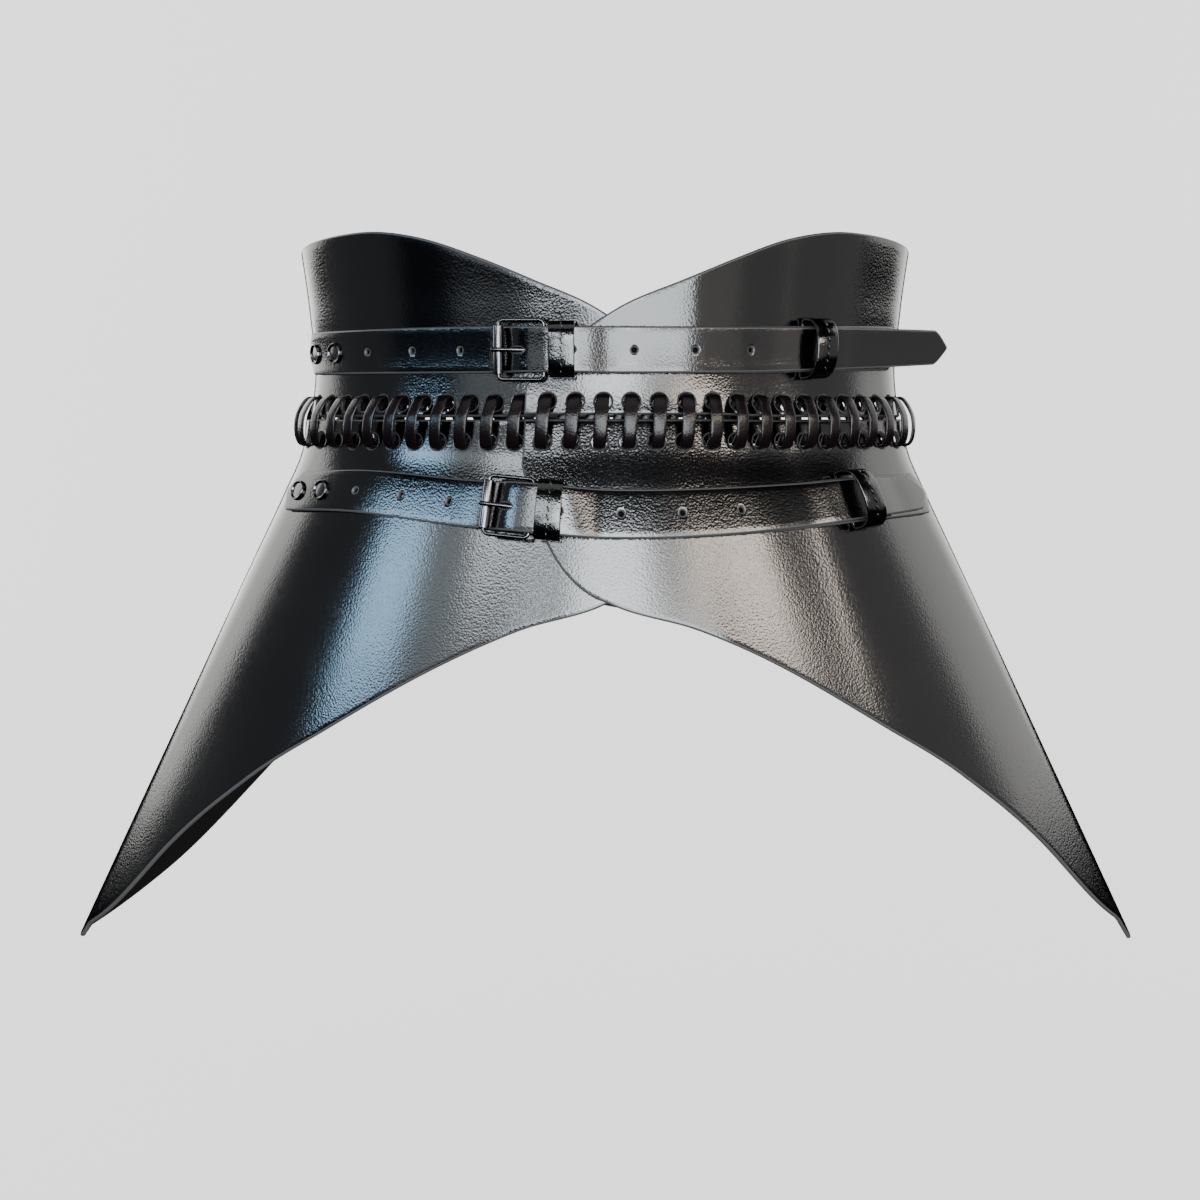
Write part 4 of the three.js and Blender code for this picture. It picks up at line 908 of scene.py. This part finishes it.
def buckle_frame():
    """The frame's wire: a rectangle with rounded corners in the plane of the strap."""
    half = np.array([BAR_SPACING / 2, BUCKLE_OPENING / 2 + WIRE_RADIUS])
    turn = np.concatenate([(quarter + np.linspace(0, 1, 9)) * np.pi / 2 for quarter in range(4)])
    corner = np.repeat([[1, 1], [-1, 1], [-1, -1], [1, -1]], 9, axis=0) * (half - FRAME_CORNER)
    around = corner + FRAME_CORNER * np.stack([np.cos(turn), np.sin(turn)], -1)
    path = np.concatenate([around, np.zeros((len(around), 1))], -1)
    return wire(path, WIRE_RADIUS, (0, 0, 1), True)


def buckle_roller():
    """The roller: a tube with eased ends round the frame's outer bar."""
    half, ease = BUCKLE_OPENING / 2 - 3 * GAP, 0.4
    turn = np.radians(np.linspace(0, 90, 7))
    end = [(ROLLER_RADIUS - ease + ease * np.cos(t), half - ease + ease * np.sin(t)) for t in turn]
    bore = WIRE_RADIUS + GAP
    profile = [(r, -h) for r, h in reversed(end)] + end + [(bore, half), (bore, -half)]
    profile.append(profile[0])
    points, faces = lathe(profile, ROLLER_SIDES, False)
    return points - np.array([BAR_SPACING / 2, 0, 0]), faces


def buckle_prong():
    """The prong's wire: a curl round the hinge bar and a nearly straight run to its eased tip."""
    curl = WIRE_RADIUS + GAP + PRONG_BASE_RADIUS
    turn = CURL_START + CURL_TURN * np.linspace(0, 1, 28)
    rest = ROLLER_RADIUS + PRONG_RADIUS + GAP
    reach = np.array(PRONG_REACH) * BAR_SPACING
    x = np.concatenate([BAR_SPACING / 2 + curl * np.cos(turn), reach])
    z = np.concatenate([curl * np.sin(turn), np.array(PRONG_HEIGHT) * rest])
    radius = np.concatenate([np.full(len(turn), PRONG_BASE_RADIUS), PRONG_RADIUS * np.array(PRONG_THICKNESS)])
    return wire(np.stack([x, 0 * x, z], -1), radius, (0, 1, 0), False)


def set_in(points, centre, axes):
    """Local points in millimetres set into the frame of a strap line, in metres."""
    return (centre + points @ axes) * MM


for level_name, level in LEVELS.items():
    seat = level["line"].frame_at(HINGE - BAR_SPACING / 2, BAR_STANDOFF)
    for piece, (points, faces) in (("frame", buckle_frame()), ("roller", buckle_roller()),
                                   ("prong", buckle_prong())):
        obj = add_mesh(f"{level_name}_{piece}_metal", set_in(points, *seat), faces, [black_metal])
        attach(obj, "root")
        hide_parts(f"{level_name}_buckle_{piece}")


# The keepers: narrow loops of thin leather, each sewn along its middle with black thread. The
# fixed one sits flat over the straps next to the buckle, the loose one arches over their ends.
KEEPER_EASE = 0.6
END_KEEPER_SLACK = 2.2
END_KEEPER_RISE = 6.5
KEEPER_STATIONS = 160
KEEPER_SHOULDER = 3.0
FOOT_SQUARENESS = 9.0
FIXED_SQUARENESS = 3.2
END_SQUARENESS = 2.5
KEEPER_EDGE = 0.45
THREAD_RADIUS = 0.28
THREAD_SIDES = 10
THREAD_COUNT = 7
THREAD_LENGTH = 2.3
THREAD_PITCH = 3.2
THREAD_SLANT = 0.35


def keeper_loop(foot, top, half, squareness):
    """Across and standoff round a keeper's inner side, and its outward directions: a square oval
    below the shoulder and a rounder one above it."""
    turn = 2 * np.pi * np.arange(KEEPER_STATIONS) / KEEPER_STATIONS
    above = np.sin(turn) > 0
    power = 2 / np.where(above, squareness, FOOT_SQUARENESS)
    across = half * np.sign(np.cos(turn)) * np.abs(np.cos(turn))**power
    reach = np.where(above, top - foot - KEEPER_SHOULDER, -KEEPER_SHOULDER)
    loop = np.stack([across, foot + KEEPER_SHOULDER + reach * np.abs(np.sin(turn))**power], -1)
    step = np.append(0, np.cumsum(np.hypot(*(np.roll(loop, -1, 0) - loop).T)))
    even = np.linspace(0, step[-1], KEEPER_STATIONS, endpoint=False)
    loop = np.stack([np.interp(even, step, np.append(column, column[0])) for column in loop.T], -1)
    heading = np.roll(loop, -1, 0) - np.roll(loop, 1, 0)
    outward = np.stack([heading[:, 1], -heading[:, 0]], -1)
    return loop, outward / np.linalg.norm(outward, axis=1, keepdims=True)


def keeper(name, line, along, loop, outward):
    """A rounded strip section carried once round the loop."""
    half, ease = KEEPER_WIDTH / 2, KEEPER_EDGE
    turn = np.concatenate([(quarter + np.linspace(0, 1, 4)) * np.pi / 2 for quarter in range(4)])
    corner = np.repeat([[1, 1], [-1, 1], [-1, -1], [1, -1]], 4, axis=0)
    centre = corner * (np.array([half, KEEPER_LEATHER / 2]) - ease)
    section = centre + ease * np.stack([np.cos(turn), np.sin(turn)], -1)
    depth = section[None, :, 1] + KEEPER_LEATHER / 2
    across = loop[:, :1] + outward[:, :1] * depth
    standoff = loop[:, 1:] + outward[:, 1:] * depth
    points = line.place(along + np.broadcast_to(section[:, 0], across.shape), across, standoff)
    faces = grid_faces(len(loop), len(section), close_rows=True, close_columns=True)[:, ::-1]
    return add_mesh(name, points.reshape(-1, 3) * MM, faces, [strap_leather])


def keeper_thread(name, line, along, loop, outward):
    """Short slanted stitches along the keeper's middle, each a thread that dips in at its ends."""
    run = np.append(0, np.cumsum(np.hypot(*(np.roll(loop, -1, 0) - loop).T)))
    middle = np.interp(KEEPER_STATIONS / 4, np.arange(KEEPER_STATIONS + 1), run)
    share = np.linspace(-1, 1, 13)
    places = middle + (np.arange(THREAD_COUNT) - (THREAD_COUNT - 1) / 2) * THREAD_PITCH
    spots = (places[:, None] + share * THREAD_LENGTH / 2) % run[-1]
    ahead = np.interp(spots, run, np.arange(KEEPER_STATIONS + 1))
    pick = lambda table, column: np.interp(ahead, np.arange(KEEPER_STATIONS + 1),
                                           np.append(table[:, column], table[0, column]))
    lift = KEEPER_LEATHER + THREAD_RADIUS * (0.85 - 1.6 * np.abs(share)**3)
    across = pick(loop, 0) + pick(outward, 0) * lift
    standoff = pick(loop, 1) + pick(outward, 1) * lift
    side = along + THREAD_SLANT * np.broadcast_to(share, across.shape)
    turn = 2 * np.pi * np.arange(THREAD_SIDES) / THREAD_SIDES
    wide, high = THREAD_RADIUS * np.cos(turn), THREAD_RADIUS * np.sin(turn)
    a = across[..., None] + pick(outward, 0)[..., None] * high
    n = standoff[..., None] + pick(outward, 1)[..., None] * high
    points = line.place(side[..., None] + wide, a, n)
    one = grid_faces(len(share), THREAD_SIDES, close_columns=True)
    stitch = len(share) * THREAD_SIDES
    faces = (one[None] + (np.arange(THREAD_COUNT) * stitch)[:, None, None]).reshape(-1, 4)
    return add_mesh(name, points.reshape(-1, 3) * MM, faces, [black_thread])


black_thread = surface_material("black_thread", (0.0008, 0.0008, 0.0008, 1), 0.25)

for level_name, level in LEVELS.items():
    line = level["line"]
    fixed_half = STRAP_WIDTH / 2 + 2 * GAP + KEEPER_EASE
    fixed = (ON_OUTER + KEEPER_LEATHER, HOOK_TOP + STRAP_LEATHER + 2 * GAP, fixed_half, FIXED_SQUARENESS)
    end_foot = float(line.panel_face(level["end_keeper"])) + KEEPER_LEATHER
    end_top = end_foot + 2 * GAP + BUCKLE_STRAP_LEATHER + STRAP_LEATHER + END_KEEPER_RISE
    end = (end_foot, end_top, STRAP_WIDTH / 2 + END_KEEPER_SLACK, END_SQUARENESS)
    for kind, along, sizes in (("fixed", FIXED_KEEPER_SHIFT, fixed), ("end", level["end_keeper"], end)):
        loop, outward = keeper_loop(*sizes)
        body = keeper(f"{level_name}_{kind}_loop", line, along, loop, outward)
        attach(body, "root")
        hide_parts(f"{level_name}_keeper_{kind}")
        thread = keeper_thread(f"{level_name}_{kind}_thread", line, along, loop, outward)
        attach(thread, "root")


# The rivets: two turned caps of the same plated metal at the left end of each punched strap,
# with a rolled rim round a slightly dished middle, pressed a little into the leather.
RIVET_RADIUS = 4.2
CAP_RADIUS = (0, 0.3, 0.55, 0.68, 0.76, 0.86, 0.95, 1.0, 1.0)
CAP_HEIGHT = (0.62, 0.6, 0.55, 0.52, 0.62, 1.15, 1.1, 0.4, -0.4)
CAP_STEPS = 41
CAP_SIDES = 48


def rivet_cap():
    """The cap: a smooth curve through the profile's points, turned about the rivet's axis."""
    knots = np.arange(len(CAP_RADIUS))
    steps = np.linspace(0, knots[-1], CAP_STEPS)
    radius = np.maximum(smooth_table(knots, CAP_RADIUS)(steps), 0.001) * RIVET_RADIUS
    return lathe(np.stack([radius, smooth_table(knots, CAP_HEIGHT)(steps)], -1), CAP_SIDES, True)


for level_name, level in LEVELS.items():
    for i in range(2):
        along = -HOLES_LEFT * STRAP_HOLE_PITCH - FIRST_RIVET - i * RIVET_PITCH
        points, faces = rivet_cap()
        seat = level["line"].frame_at(along, ON_INNER + STRAP_LEATHER)
        cap = add_mesh(f"{level_name}_cap_{i + 1}", set_in(points, *seat), faces[:, ::-1], [black_metal])
        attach(cap, "root")
        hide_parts(f"{level_name}_rivet_left_{i + 1}")
